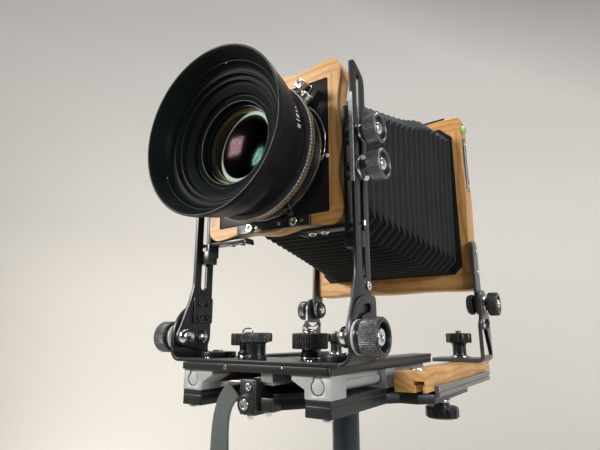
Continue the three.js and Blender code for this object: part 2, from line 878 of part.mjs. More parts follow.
// a flat strap along a hand-chosen route, measured from the front of its block, its width turned a
// little as it hangs
const strapRoute = [
  [-13.5, -1.9, 18],
  [-16.3, -2.6, 14.8],
  [-18.9, -3.3, 11],
  [-21.1, -3.9, 6.8],
  [-22.8, -4.3, 2],
  [-24.1, -4.7, -3.5],
  [-25, -4.9, -10],
  [-25.4, -5, -17],
  [-25.4, -5.1, -25],
  [-25.2, -5.1, -34],
  [-25, -5, -45],
  [-24.8, -5, -58],
  [-24.6, -4.9, -73],
  [-24.5, -4.9, -90],
  [-24.4, -4.8, -108],
  [-24.3, -4.8, -127],
  [-24.2, -4.8, -147],
  [-24.1, -4.8, -168],
  [-24, -4.8, -190],
];

function strap() {
  const route = new THREE.CatmullRomCurve3(strapRoute.map((p) => new THREE.Vector3(...p)));
  const steps = 24;
  const half = strapWidth / 2;
  const thick = strapThickness / 2;
  const section = [[-half, 0], [-half + 1.5, -thick], [half - 1.5, -thick], [half, 0], [half - 1.5, thick],
    [-half + 1.5, thick]];
  const rings = [];
  for (let i = 0; i <= steps; i += 1) {
    const centre = route.getPointAt(i / steps);
    const along = route.getTangentAt(i / steps);
    const turn = strapTwist * THREE.MathUtils.smoothstep(i / steps, 0.05, 0.5);
    const across = new THREE.Vector3(Math.cos(turn), Math.sin(turn), 0);
    across.addScaledVector(along, -across.dot(along)).normalize();
    const outward = new THREE.Vector3().crossVectors(across, along);
    const place = ([u, v]) => centre.clone().addScaledVector(across, u).addScaledVector(outward, v);
    rings.push(section.map(place));
  }
  return lofted(rings);
}

// a skin through rings of equal length, with both ends closed
function lofted(rings) {
  const count = rings[0].length;
  const positions = rings.flat().flatMap((p) => [p.x, p.y, p.z]);
  const index = [];
  for (let i = 0; i + 1 < rings.length; i += 1) {
    for (let j = 0; j < count; j += 1) {
      const [a, b] = [i * count + j, i * count + ((j + 1) % count)];
      index.push(a, b, a + count, b, b + count, a + count);
    }
  }
  const last = (rings.length - 1) * count;
  for (let j = 1; j + 1 < count; j += 1) {
    index.push(0, j + 1, j);
    index.push(last, last + j, last + j + 1);
  }
  const geometry = new THREE.BufferGeometry();
  geometry.setAttribute('position', new THREE.Float32BufferAttribute(positions, 3));
  geometry.setIndex(index);
  return geometry;
}

function buildBed() {
  const group = new THREE.Group();
  piece(group, 'bed_plate', bedPlate(), blackMetal);
  piece(group, 'focus_bed', focusBed(), blackMetal);
  piece(group, 'focus_rack', focusRack(), rawAluminium);
  const pinion = piece(group, 'focus_pinion', focusPinion(), blackMetal);
  pinion.position.set(0, pinionY, shaftZ);
  piece(group, 'strap_block', strapBlock(), blackMetal);
  piece(group, 'carry_strap', strap(), webbing).position.y = bedFront - 3;
  for (const [name, side] of [['left', -1], ['right', 1]]) {
    piece(group, `rail_housing_${name}`, railHousing(), rawAluminium, side);
    piece(group, `side_rail_${name}`, sideRail(), wood, side);
    const lock = piece(group, `rail_lock_knob_${name}`, railLockKnob(), blackMetal);
    lock.position.set(side * slotX, lockKnobY, 0);
    lock.rotation.x = Math.PI;
  }
  return group;
}

// ---------- front standard ----------
// one bent plate: the base lies on the focusing bed and an arm stands up at each side
function swingBracket() {
  const bend = 12;
  const section = new THREE.Shape();
  const top = pivotZ + armRadius + 1;
  const outer = bracketHalf;
  const inner = bracketHalf - bracketThickness;
  section.moveTo(outer, top);
  section.lineTo(inner, top);
  section.lineTo(inner, bracketBottom + bend);
  section.absarc(outer - bend, bracketBottom + bend, bend - bracketThickness, 0, -Math.PI / 2, true);
  section.absarc(bend - outer, bracketBottom + bend, bend - bracketThickness, -Math.PI / 2, -Math.PI, true);
  section.lineTo(-inner, top);
  section.lineTo(-outer, top);
  section.absarc(bend - outer, bracketBottom + bend, bend, Math.PI, 1.5 * Math.PI, false);
  section.absarc(outer - bend, bracketBottom + bend, bend, 1.5 * Math.PI, 2 * Math.PI, false);
  const bent = standing(section, bracketFront, bracketBack, 3);
  const profile = new THREE.Shape();
  profile.moveTo(bracketFront, bracketBottom - 1);
  profile.lineTo(bracketBack, bracketBottom - 1);
  profile.lineTo(bracketBack, bracketTop + 2);
  profile.lineTo(armBack, bracketTop + 6);
  profile.lineTo(armBack, pivotZ + armRadius - 6);
  profile.lineTo(armBack - 6, pivotZ + armRadius);
  profile.absarc(pivotY, pivotZ, armRadius, Math.PI / 2, Math.PI, false);
  const sideShape = sideways(profile, -outer - 1, outer + 1, 5);
  const plan = outline([
    [-outer - 1, bracketFront],
    [outer + 1, bracketFront],
    [outer + 1, armBack],
    [deckHalf + 4, armBack],
    [deckHalf - 8, bracketBack],
    [8 - deckHalf, bracketBack],
    [-deckHalf - 4, armBack],
    [-outer - 1, armBack],
  ]);
  const blank = common(bent, sideShape, flat(plan, bracketBottom - 2, top + 1));
  const discs = [-1, 1].map((side) => rodZ(swingDiscRadius, side * swingDiscX, 10, bracketTop - 1,
    bracketTop + 5.5, 16));
  return cut(join(blank, ...discs), ...bracketCuts());
}

function bracketCuts() {
  const tools = [rodZ(boltRadius + 2 * slip, 0, swingY, bracketBottom - 1, bracketTop + 1, 12)];
  const swingRadius = Math.hypot(swingKnobX, swingKnobY - swingY);
  const rest = Math.atan2(swingKnobY - swingY, swingKnobX);
  for (const middle of [rest, Math.PI - rest]) {
    const [from, to] = [middle - swingAngle, middle + swingAngle];
    const shape = arcSlot(0, swingY, swingRadius, from, to, boltRadius + slip);
    tools.push(flat(shape, bracketBottom - 1, bracketTop + 1));
  }
  const tiltEnd = THREE.MathUtils.degToRad(190);
  const tilt = arcSlot(pivotY, pivotZ, clampRadius, Math.PI / 2, tiltEnd, boltRadius + slip);
  tools.push(sideways(tilt, -bracketHalf - 1, bracketHalf + 1));
  tools.push(rodX(6 + slip, -bracketHalf - 1, bracketHalf + 1, pivotY, pivotZ, 16));
  return tools;
}

function swingKnob() {
  return knob({
    radius: 17,
    length: 13.5,
    washer: 10,
    neck: 8,
    neckLength: 8,
    stem: boltRadius,
    stemLength: bracketTop - focusBottom - 1 - slip,
  });
}

function swingPivotKnob() {
  const base = bracketTop;
  const rim = flat(knurled(18, 14.8, 13.6), base + 16, base + 24.5);
  const body = turned([
    [0, focusBottom + 1 + slip],
    [boltRadius, focusBottom + 1 + slip],
    [boltRadius, base],
    [10, base],
    [10, base + 17],
    [0, base + 17],
  ], 16);
  return join(rim, body);
}

function uprightArm() {
  const lug = 9.5;
  const foot = pivotRise - 7; // clears the bracket's base as the upright tilts
  const shape = new THREE.Shape();
  shape.moveTo(uprightFront, pivotZ + footTaper);
  shape.absarc(clampY, pivotZ, lug, 0.86 * Math.PI, 1.5 * Math.PI, false);
  shape.absarc(pivotY, pivotZ, foot, 1.5 * Math.PI, 2 * Math.PI, false);
  shape.lineTo(uprightBack, slotTop);
  shape.lineTo(uprightFront + 5, uprightPeak);
  shape.lineTo(uprightFront, uprightPeak - 3);
  const plate = sideways(shape, uprightInner, uprightOuter, 4);
  const doubler = block(uprightInner - 3, uprightInner + 1, uprightFront - 2, uprightBack - 1, pivotZ + 14,
    pivotZ + 42);
  const pin = rodX(6, uprightInner - 2, bracketHalf + slip + 2.7, pivotY, pivotZ, 12);
  const washer = rodX(8.5, bracketHalf + slip, bracketHalf + slip + 2.7, pivotY, pivotZ, 12);
  const nut = rodX(8.5, uprightInner - 2.5, uprightInner + 1, pivotY, pivotZ, 12);
  const slot = sideways(straightSlot(riseSlotY, slotBottom, slotTop, boltRadius + slip),
    uprightInner - 4, uprightOuter + 1);
  const clampHole = rodX(boltRadius + slip, uprightInner - 4, uprightOuter + 1, clampY, pivotZ, 12);
  const scale = block(uprightInner - 0.5, uprightOuter, uprightFront - 1, uprightFront + 1, scaleBottom,
    scaleTop);
  return join(cut(join(plate, doubler), slot, clampHole), pin, washer, nut, scale);
}

function tiltKnob() {
  const stemLength = bracketHalf + slip - uprightInner + slip;
  const body = knob({
    radius: tiltKnobRadius,
    length: 19,
    washer: 12.5,
    neck: 11,
    neckLength: 2,
    stem: boltRadius,
    stemLength: stemLength + 1,
    head: 6,
  });
  const dome = turned([
    [0, -stemLength - 9],
    [5, -stemLength - 8],
    [8.4, -stemLength - 4],
    [9, -stemLength],
    [0, -stemLength],
  ], 12);
  return join(body, dome);
}

function riseKnob() {
  return knob({
    radius: riseKnobRadius,
    length: 14,
    washer: 12.5,
    neck: 9,
    neckLength: 3,
    stem: boltRadius,
    stemLength: uprightThickness + 6,
  });
}

// black metal side plate that hangs the wooden frame between the uprights
function riseCarrier() {
  const inner = frameHalf;
  const outer = uprightInner - slip;
  const plate = block(inner, inner + carrierThickness, 2, 18, frameBottom - 11, carrierTop);
  const foot = block(34, inner + 1, 3, 17, frameBottom - 11, frameBottom);
  const bosses = [knobUpperZ, knobLowerZ].map((z) => rodX(8.5, inner + 1, outer, riseSlotY, z, 12));
  const guide = block(inner, outer, riseSlotY - 7, riseSlotY + 7, frameBottom - 24, frameBottom - 9);
  const tongue = block(outer - 1, uprightOuter + 1, riseSlotY - boltRadius, riseSlotY + boltRadius,
    frameBottom - 24, frameBottom - 9);
  const bore = boltRadius + slip;
  const bores = [knobUpperZ, knobLowerZ].map((z) => rodX(bore, inner + 5, outer + 1, riseSlotY, z, 12));
  return cut(join(plate, foot, ...bosses, guide, tongue), ...bores);
}

function frontFrame() {
  const halfHeight = (frameTop - frameBottom) / 2;
  const blank = standing(carved(frameHalf, halfHeight, frameZ, frameDip, 6), 0, frameDepth);
  const rebate = standing(roundedBox(0, boardZ, boardWidth + 2 * seat, boardHeight + 2 * seat, 3), -1,
    boardInset + boardThickness, 3);
  const hole = standing(roundedBox(0, boardZ, frameOpening, frameOpening, 4), 0, frameDepth + 1, 3);
  const screws = latchScrewX.map((x) => join(
    rodY(latchScrew, x, -latchThickness - slip - 1, 1, latchZ, 12),
    rodY(4.6, x, -latchThickness - 2.6, -latchThickness - 2 * slip, latchZ, 12),
  ));
  return join(cut(blank, rebate, hole), ...screws);
}

function boardLatch() {
  const middle = (latchLeft + latchRight) / 2;
  const bar = standing(roundedBox(middle, latchZ, latchRight - latchLeft, latchHeight, 1.5),
    -latchThickness - slip, -slip, 2);
  const end = latchSlot + latchTravel / 2;
  const slots = latchScrewX.map((x) => standing(
    straightSlot(x, latchZ - end, latchZ + end, latchSlot), -9, 1, 4));
  return cut(bar, ...slots);
}

function lensBoard() {
  const shape = roundedBox(0, boardZ, boardWidth, boardHeight, 3);
  const plate = standing(shape, boardInset, boardInset + boardThickness, 3);
  return cut(plate, rodY(mountRadius + seat, 0, -1, 9, lensZ, 24));
}

function buildFront() {
  const group = new THREE.Group();
  piece(group, 'swing_bracket', swingBracket(), blackMetal);
  piece(group, 'swing_pivot_knob', swingPivotKnob(), blackMetal).position.y = swingY;
  piece(group, 'front_frame', frontFrame(), wood);
  piece(group, 'lens_board', lensBoard(), blackMetal);
  piece(group, 'board_latch', boardLatch(), blackMetal);
  for (const [name, side] of [['left', -1], ['right', 1]]) {
    const swing = piece(group, `swing_knob_${name}`, swingKnob(), blackMetal);
    swing.position.set(side * swingKnobX, swingKnobY, bracketTop);
    piece(group, `upright_${name}`, uprightArm(), blackMetal, side);
    piece(group, `rise_carrier_${name}`, riseCarrier(), blackMetal, side);
    const tilt = piece(group, `tilt_knob_${name}`, tiltKnob(), blackMetal);
    tilt.position.set(side * (bracketHalf + slip), clampY, pivotZ);
    tilt.rotation.y = (side * Math.PI) / 2;
    for (const [level, z] of [['upper', knobUpperZ], ['lower', knobLowerZ]]) {
      const rise = piece(group, `rise_knob_${level}_${name}`, riseKnob(), blackMetal);
      rise.position.set(side * (uprightOuter + slip), riseSlotY, z);
      rise.rotation.y = (side * Math.PI) / 2;
    }
  }
  return group;
}

// ---------- lens: turned pieces, heights measured forward from the frame's face ----------
function shutterBody() {
  const back = -boardInset;
  const blades = 12;
  const boardBack = back - boardThickness;
  const body = turned([
    [0, blades],
    [boreRadius, blades],
    [boreRadius, shutterDepth],
    [shutterRadius - 2, shutterDepth],
    [shutterRadius, shutterDepth - 2],
    [shutterRadius, back + 2],
    [shutterRadius - 2, back],
    [mountRadius, back],
    [mountRadius, boardBack - slip],
    [nutRadius, boardBack - slip],
    [nutRadius, boardBack - 3],
    [boreRadius, boardBack - 3],
    [boreRadius, blades - 1],
    [0, blades - 1],
  ], 24);
  const socket = rodX(socketRadius, shutterRadius - 3, shutterRadius + socketReach, 0, socketDepth, 16);
  return join(body, socket.rotateZ(socketAngle));
}

function speedRing() {
  const start = shutterDepth + slip;
  const ring = flat(knurled(ringTeeth, ringRadius, ringRadius - 1.6), start, start + ringDepth);
  return cut(ring, rodZ(boreRadius + ringGap, 0, 0, 0, start + ringDepth + 1, 20));
}

function frontCell() {
  const back = shutterDepth + ringDepth + 2 * slip;
  const inner = 28;
  return turned([
    [boreRadius - 0.5, 18],
    [boreRadius - 0.5, back],
    [barrelRadius, back],
    [barrelRadius, barrelFront],
    [hoodRadius - 6.4, barrelFront + 3],
    [hoodRadius, hoodFront - 2],
    [hoodRadius - 0.6, hoodFront],
    [hoodRadius - 2.4, hoodFront],
    [hoodRadius - 4, hoodFront - 3],
    [hoodRadius - 10, hoodFront - 12],
    [hoodRadius - 20, hoodFront - 20],
    [hoodRadius - 30, hoodFront - 29],
    [glassRadius + 2.5, barrelFront + 5],
    [glassRadius + seat, barrelFront + 3],
    [glassRadius + seat, barrelFront - 9],
    [inner, barrelFront - 9],
    [inner, 18],
    [boreRadius - 0.5, 18],
  ], 28);
}

function frontElement() {
  const back = barrelFront - 9 + slip;
  return turned([
    [0, back],
    [glassRadius, back],
    [glassRadius, barrelFront - 2],
    [glassRadius * 0.8, barrelFront + 1],
    [glassRadius * 0.45, barrelFront + 3.4],
    [0, barrelFront + 4.4],
  ], 24);
}

function rearCell() {
  const flange = -boardInset - boardThickness - 3 - slip;
  const end = flange - rearCellLength;
  return turned([
    [0, end + 3],
    [rearCellRadius - 12, end + 4],
    [rearCellRadius - 5, end + 7],
    [rearCellRadius - 4, end],
    [rearCellRadius, end],
    [rearCellRadius, flange],
    [boreRadius - 0.5, flange],
    [boreRadius - 0.5, 6],
    [boreRadius - 4, 6],
    [boreRadius - 4, end + 12],
    [0, end + 12],
  ], 20);
}

// a ring round the shutter with an arm that carries a square thumb piece
function cockingLever() {
  const sides = 24;
  const inner = (shutterRadius + slip) / Math.cos(Math.PI / sides); // clears the body at every angle
  const ring = cut(rodZ(inner + 2.4, 0, 0, 7, 11, sides), rodZ(inner, 0, 0, 6, 12, sides));
  const reach = shutterRadius + leverReach;
  const arm = block(inner + 1, reach, -leverHalf, leverHalf, 7, 11);
  const thumb = block(reach - 9, reach, -leverHalf, leverHalf, 7, 25);
  const swung = [arm, thumb].map((part) => part.rotateZ(leverAngle));
  return join(ring, ...swung);
}

function buildLens() {
  const group = new THREE.Group();
  group.position.z = lensZ;
  group.rotation.x = Math.PI / 2;
  piece(group, 'shutter_body', shutterBody(), lensBlack);
  piece(group, 'speed_ring', speedRing(), ringMetal);
  piece(group, 'front_cell', frontCell(), lensBlack);
  piece(group, 'front_element', frontElement(), coatedGlass);
  piece(group, 'rear_cell', rearCell(), lensBlack);
  piece(group, 'cocking_lever', cockingLever(), chrome);
  return group;
}

// ---------- rear standard ----------
function rearFrame() {
  const blank = standing(carved(rearHalf, (rearTop - rearBottom) / 2, rearZ, rearDip, 8), rearFront,
    rearFront + rearDepth);
  const hole = standing(roundedBox(0, rearZ, rearOpening, rearOpening, 4), rearFront - 1,
    rearFront + rearDepth + 1, 3);
  return cut(blank, hole);
}

function rearArm() {
  const middle = rearPivotY + 6;
  const shape = new THREE.Shape();
  shape.absarc(middle, armTop - armWidth / 2, armWidth / 2, 0, Math.PI, false);
  shape.absarc(middle, rearPivotZ, armWidth / 2 + 2, Math.PI, 2 * Math.PI, false);
  const plate = sideways(shape, rearHalf, rearHalf + armThickness, 4);
  const hole = rodX(boltRadius + slip, rearHalf - 1, rearHalf + armThickness + 1, rearPivotY, rearPivotZ);
  const face = rearHalf + armThickness;
  const screws = [armTop - 16, armTop - 46].map((z) => rodX(3.6, face - 1, face + 1.6, middle + 4, z, 10));
  return join(cut(plate, hole), ...screws);
}

function bracketPlane() {
  return rearHalf + armThickness + 2;
}

// bent plate: the foot is screwed to the rail, the upright plate carries the tilting arm
function rearBracket() {
  const inner = bracketPlane();
  const outer = inner + rearPlate;
  const bend = 8;
  const section = new THREE.Shape();
  section.moveTo(footInner, railTop);
  section.absarc(outer - bend, railTop + bend, bend, 1.5 * Math.PI, 2 * Math.PI, false);
  section.lineTo(outer, rearPivotZ + 26);
  section.lineTo(inner, rearPivotZ + 26);
  section.absarc(outer - bend, railTop + bend, bend - rearPlate, 0, -Math.PI / 2, true);
  section.lineTo(footInner, railTop + rearPlate);
  const front = rearPivotY - footAhead - 12;
  const back = rearPivotY + footBehind;
  const bent = standing(section, front, back, 2);
  const profile = new THREE.Shape();
  profile.moveTo(front, railTop - 1);
  profile.lineTo(back, railTop - 1);
  profile.lineTo(back, rearPivotZ - 20);
  profile.absarc(rearPivotY, rearPivotZ, 19, 0, Math.PI, false);
  profile.lineTo(front, rearPivotZ - 20);
  const sideShape = sideways(profile, footInner - 1, outer + 1, 5);
  const arc = arcSlot(rearPivotY, rearPivotZ, 30, 1.28 * Math.PI, 1.72 * Math.PI, 3);
  return cut(
    common(bent, sideShape),
    sideways(arc, inner - 1, outer + 1),
    rodX(boltRadius + slip, inner - 1, outer + 1, rearPivotY, rearPivotZ),
    rodZ(3 + slip, starX, starY, railTop - 1, railTop + rearPlate + 1, 12),
  );
}

function rearTiltKnob() {
  const stemLength = bracketPlane() + rearPlate - rearHalf;
  const body = knob({
    radius: 15.5,
    length: 14,
    washer: 11,
    neck: 9,
    neckLength: 2,
    stem: boltRadius,
    stemLength: stemLength + slip + 1,
  });
  const nut = turned([
    [0, -stemLength - slip - 11],
    [11, -stemLength - slip - 11],
    [13.5, -stemLength - slip - 8],
    [13.5, -stemLength - slip - 2],
    [9, -stemLength - slip],
    [0, -stemLength - slip],
  ], 12);
  return join(body, nut);
}

function starKnob() {
  const lobes = 6;
  const shape = new THREE.Shape();
  for (let i = 0; i < lobes; i += 1) {
    const angle = (2 * Math.PI * i) / lobes;
    const far = starRadius - 6;
    shape.absarc(far * Math.cos(angle), far * Math.sin(angle), 6, angle - 1.25, angle + 1.25, false);
  }
  const head = flat(shape, 19, 32, 3);
  const core = turned([
    [0, -12],
    [3, -12],
    [3, 0],
    [14, 0],
    [14, 1.5],
    [9.5, 4],
    [9, 20],
    [0, 20],
  ], 12);
  return join(head, core, rodZ(5, 0, 0, 31, 36, 6));
}

function glassFrame() {
  const front = rearFront + rearDepth + slip;
  const blank = standing(roundedBox(0, rearZ, backSize, backSize, 6), front, front + backDepth, 3);
  const window = standing(roundedBox(0, rearZ, glassWidth - 12, glassHeight - 12, 2), front - 1,
    front + backDepth + 1, 2);
  const [a, b] = [glassWidth / 2 + seat, glassHeight / 2 + seat];
  const pocket = rectangle(-a, a, rearZ - b, rearZ + b);
  const rebate = standing(pocket, front - 1, front + glassThickness + seat);
  return cut(blank, window, rebate);
}

function groundGlass() {
  const front = rearFront + rearDepth + slip;
  return block(-glassWidth / 2, glassWidth / 2, front, front + glassThickness, rearZ - glassHeight / 2,
    rearZ + glassHeight / 2);
}

function buildRear() {
  const group = new THREE.Group();
  piece(group, 'rear_frame', rearFrame(), wood);
  piece(group, 'glass_frame', glassFrame(), wood);
  piece(group, 'ground_glass', groundGlass(), frostedGlass);
  const level = piece(group, 'bubble_level', rodX(levelRadius, 0, 3.5, 0, 0, 16), levelGreen);
  level.position.set(rearHalf, rearFront + 10, rearTop - 23);
  for (const [name, side] of [['left', -1], ['right', 1]]) {
    piece(group, `rear_arm_${name}`, rearArm(), blackMetal, side);
    piece(group, `rear_bracket_${name}`, rearBracket(), blackMetal, side);
    const tilt = piece(group, `rear_tilt_knob_${name}`, rearTiltKnob(), blackMetal);
    tilt.position.set(side * (bracketPlane() + rearPlate), rearPivotY, rearPivotZ);
    tilt.rotation.y = (side * Math.PI) / 2;
    const star = piece(group, `star_knob_${name}`, starKnob(), blackMetal);
    star.position.set(side * starX, starY, railTop + rearPlate);
  }
  return group;
}

// ---------- bellows: one pleated tube, square at the front and wider at the rear ----------
function bellowsRing(y, width, height, z) {
  const corner = 14;
  const [a, b] = [width / 2, height / 2];
  const points = [[a, -b + corner], [a, b - corner], [a - corner, b], [corner - a, b], [-a, b - corner],
    [-a, corner - b], [corner - a, -b], [a - corner, -b]];
  return points.map(([x, up]) => new THREE.Vector3(x, y, z + up));
}

function bellows() {
  const y0 = frameDepth + slip;
  const y1 = rearFront - slip;
  const steps = 2 * bellowsPleats;
  const ring = (t, fold) => bellowsRing(
    y0 + t * (y1 - y0),
    THREE.MathUtils.lerp(bellowsFront, bellowsRearWidth, t) - fold,
    THREE.MathUtils.lerp(bellowsFront, bellowsRearHeight, t) - fold,
    THREE.MathUtils.lerp(boardZ, rearZ, t),
  );
  const outside = [];
  for (let i = 0; i <= steps; i += 1) outside.push(ring(i / steps, i % 2 ? 0 : pleatDepth));
  const lining = pleatDepth + 2 * bellowsWall;
  return tube([...outside, ring(1, lining), ring(0, lining), outside[0]]);
}

// a skin through closed rings whose last ring is its first
function tube(rings) {
  const count = rings[0].length;
  const positions = rings.flat().flatMap((p) => [p.x, p.y, p.z]);
  const index = [];
  for (let i = 0; i + 1 < rings.length; i += 1) {
    for (let j = 0; j < count; j += 1) {
      const [a, b] = [i * count + j, i * count + ((j + 1) % count)];
      index.push(a, b, a + count, b, b + count, a + count);
    }
  }
  const geometry = new THREE.BufferGeometry();
  geometry.setAttribute('position', new THREE.Float32BufferAttribute(positions, 3));
  geometry.setIndex(index);
  return geometry;
}

// ---------- the whole object ----------
const object = new THREE.Group();
const tripod = buildTripod();
tripod.position.y = columnY;
object.add(tripod);
const camera = new THREE.Group();
camera.position.set(0, columnY - screwY, bedHeight);
camera.add(buildBed(), buildFront(), buildLens(), buildRear());
piece(camera, 'bellows', bellows(), pleatedCloth);
object.add(camera);

export default object;
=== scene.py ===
# The looks of a wooden field camera for sheet film, on its tripod.
import math

import bmesh
import bpy
import numpy as np
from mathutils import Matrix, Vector
from mathutils.geometry import tessellate_polygon


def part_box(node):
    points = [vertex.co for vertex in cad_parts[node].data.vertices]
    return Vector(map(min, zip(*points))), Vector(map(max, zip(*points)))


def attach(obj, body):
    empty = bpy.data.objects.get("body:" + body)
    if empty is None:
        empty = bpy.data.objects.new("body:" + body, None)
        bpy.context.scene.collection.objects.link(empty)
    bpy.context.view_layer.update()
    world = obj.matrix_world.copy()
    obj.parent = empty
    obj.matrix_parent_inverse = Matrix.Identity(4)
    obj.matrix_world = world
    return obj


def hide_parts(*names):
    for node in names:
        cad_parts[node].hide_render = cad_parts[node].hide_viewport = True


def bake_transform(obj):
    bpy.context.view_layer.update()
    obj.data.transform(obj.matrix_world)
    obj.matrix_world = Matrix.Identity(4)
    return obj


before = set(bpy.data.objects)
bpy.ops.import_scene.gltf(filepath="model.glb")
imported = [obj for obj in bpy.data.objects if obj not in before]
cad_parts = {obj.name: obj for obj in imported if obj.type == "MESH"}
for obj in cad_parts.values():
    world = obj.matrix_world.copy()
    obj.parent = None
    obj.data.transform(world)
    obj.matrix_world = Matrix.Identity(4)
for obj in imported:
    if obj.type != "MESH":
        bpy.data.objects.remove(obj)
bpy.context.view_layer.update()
mm = 0.001

# ---- Camera ----
# The view is from low down, in front of the lens and to its right, close enough that the
# standards lean together towards the top.
bpy.context.scene.view_settings.view_transform = "Standard"
bpy.context.scene.view_settings.look = "None"
# the camera's own zero: middle of its width, front face of the front frame, underside of the bed
BOARD_INSET = 0.5 * mm
SCREW_LENGTH = 8 * mm
origin = np.array([0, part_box("lens_board")[0].y - BOARD_INSET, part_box("column")[1].z - SCREW_LENGTH])

view = bpy.data.cameras.new("view")
view.sensor_width = 36
view.lens = 27.23
view.clip_start = 0.02
viewer = bpy.data.objects.new("viewer", view)
bpy.context.scene.collection.objects.link(viewer)
viewer.location = Vector(origin) + Vector((274.59, -359.18, 64.88)) * mm
viewer.rotation_euler = (math.radians(90 + 13.71), 0, math.radians(33.51))
bpy.context.scene.camera = viewer


# ---- Carrying strap ----
# A flat band of woven grey-green webbing. It leaves a black block under the front edge of the bed,
# turns over as it falls, and hangs down by its own weight to an end that is cut square.
def at(points):
    """Points in the camera's own millimetres as points in the row frame, in metres: origin + mm * p."""
    return origin + np.asarray(points, float) * mm


def unit(rows):
    """Each row divided by its own length."""
    return rows / np.linalg.norm(rows, axis=1)[:, None]


def spline(points, count):
    """Points at even steps of length along a Catmull-Rom curve, p(t) = a cubic through four neighbours."""
    p = np.asarray(points, float)
    p = np.vstack([2 * p[0] - p[1], p, 2 * p[-1] - p[-2]])
    t = np.linspace(0, 1, 24, endpoint=False)[:, None]
    runs = [0.5 * (2 * b + (c - a) * t + (2 * a - 5 * b + 4 * c - d) * t**2 + (3 * b - a - 3 * c + d) * t**3)
            for a, b, c, d in zip(p, p[1:], p[2:], p[3:])]
    fine = np.vstack(runs + [p[-2:-1]])
    length = np.concatenate([[0], np.cumsum(np.linalg.norm(np.diff(fine, axis=0), axis=1))])
    even = np.linspace(0, length[-1], count)
    return np.stack([np.interp(even, length, fine[:, i]) for i in range(fine.shape[1])], 1)


def grid_faces(rows, columns, wrap_rows=False, wrap_columns=False):
    """Quads between neighbouring points of a grid; a wrapped direction joins its last line to its first."""
    row = np.arange(rows if wrap_rows else rows - 1)
    column = np.arange(columns if wrap_columns else columns - 1)
    r0, c0 = np.meshgrid(row, column, indexing="ij")
    r1, c1 = (r0 + 1) % rows, (c0 + 1) % columns
    corners = [r0 * columns + c0, r0 * columns + c1, r1 * columns + c1, r1 * columns + c0]
    return np.stack(corners, -1).reshape(-1, 4).tolist()


def loft(rings, wrap_rows=False):
    """A closed skin through rings, an array of rings x points x 3, with a flat end at each open end."""
    rings = np.asarray(rings, float)
    rows, columns = rings.shape[:2]
    faces = grid_faces(rows, columns, wrap_rows, True)
    if not wrap_rows:
        faces.append(list(range(columns))[::-1])
        faces.append(list(range((rows - 1) * columns, rows * columns)))
    return rings.reshape(-1, 3), faces


def joined(*shapes):
    """Several shapes as one: their points in a row, their faces counted on."""
    starts = np.cumsum([0] + [len(points) for points, _ in shapes[:-1]])
    faces = [[i + int(start) for i in face] for (_, fs), start in zip(shapes, starts) for face in fs]
    return np.vstack([points for points, _ in shapes]), faces


def piece(name, shape, body, material, replaces=(), smooth=35):
    """A mesh piece from a shape in the camera's millimetres: welded where points meet, its faces outwards,
    its edges sharp above smooth degrees."""
    points, faces = shape
    mesh = bpy.data.meshes.new(name)
    mesh.from_pydata(at(points).tolist(), [], faces)
    work = bmesh.new()
    work.from_mesh(mesh)
    bmesh.ops.remove_doubles(work, verts=work.verts, dist=1e-6)
    bmesh.ops.dissolve_degenerate(work, edges=work.edges, dist=1e-7)
    bmesh.ops.recalc_face_normals(work, faces=work.faces)
    work.to_mesh(mesh)
    work.free()
    mesh.shade_smooth()
    mesh.set_sharp_from_angle(angle=math.radians(smooth))
    made = bpy.data.objects.new(name, mesh)
    bpy.context.scene.collection.objects.link(made)
    made.data.materials.append(material)
    if body:
        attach(made, body)
    if replaces:
        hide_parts(*([replaces] if isinstance(replaces, str) else replaces))
    return made


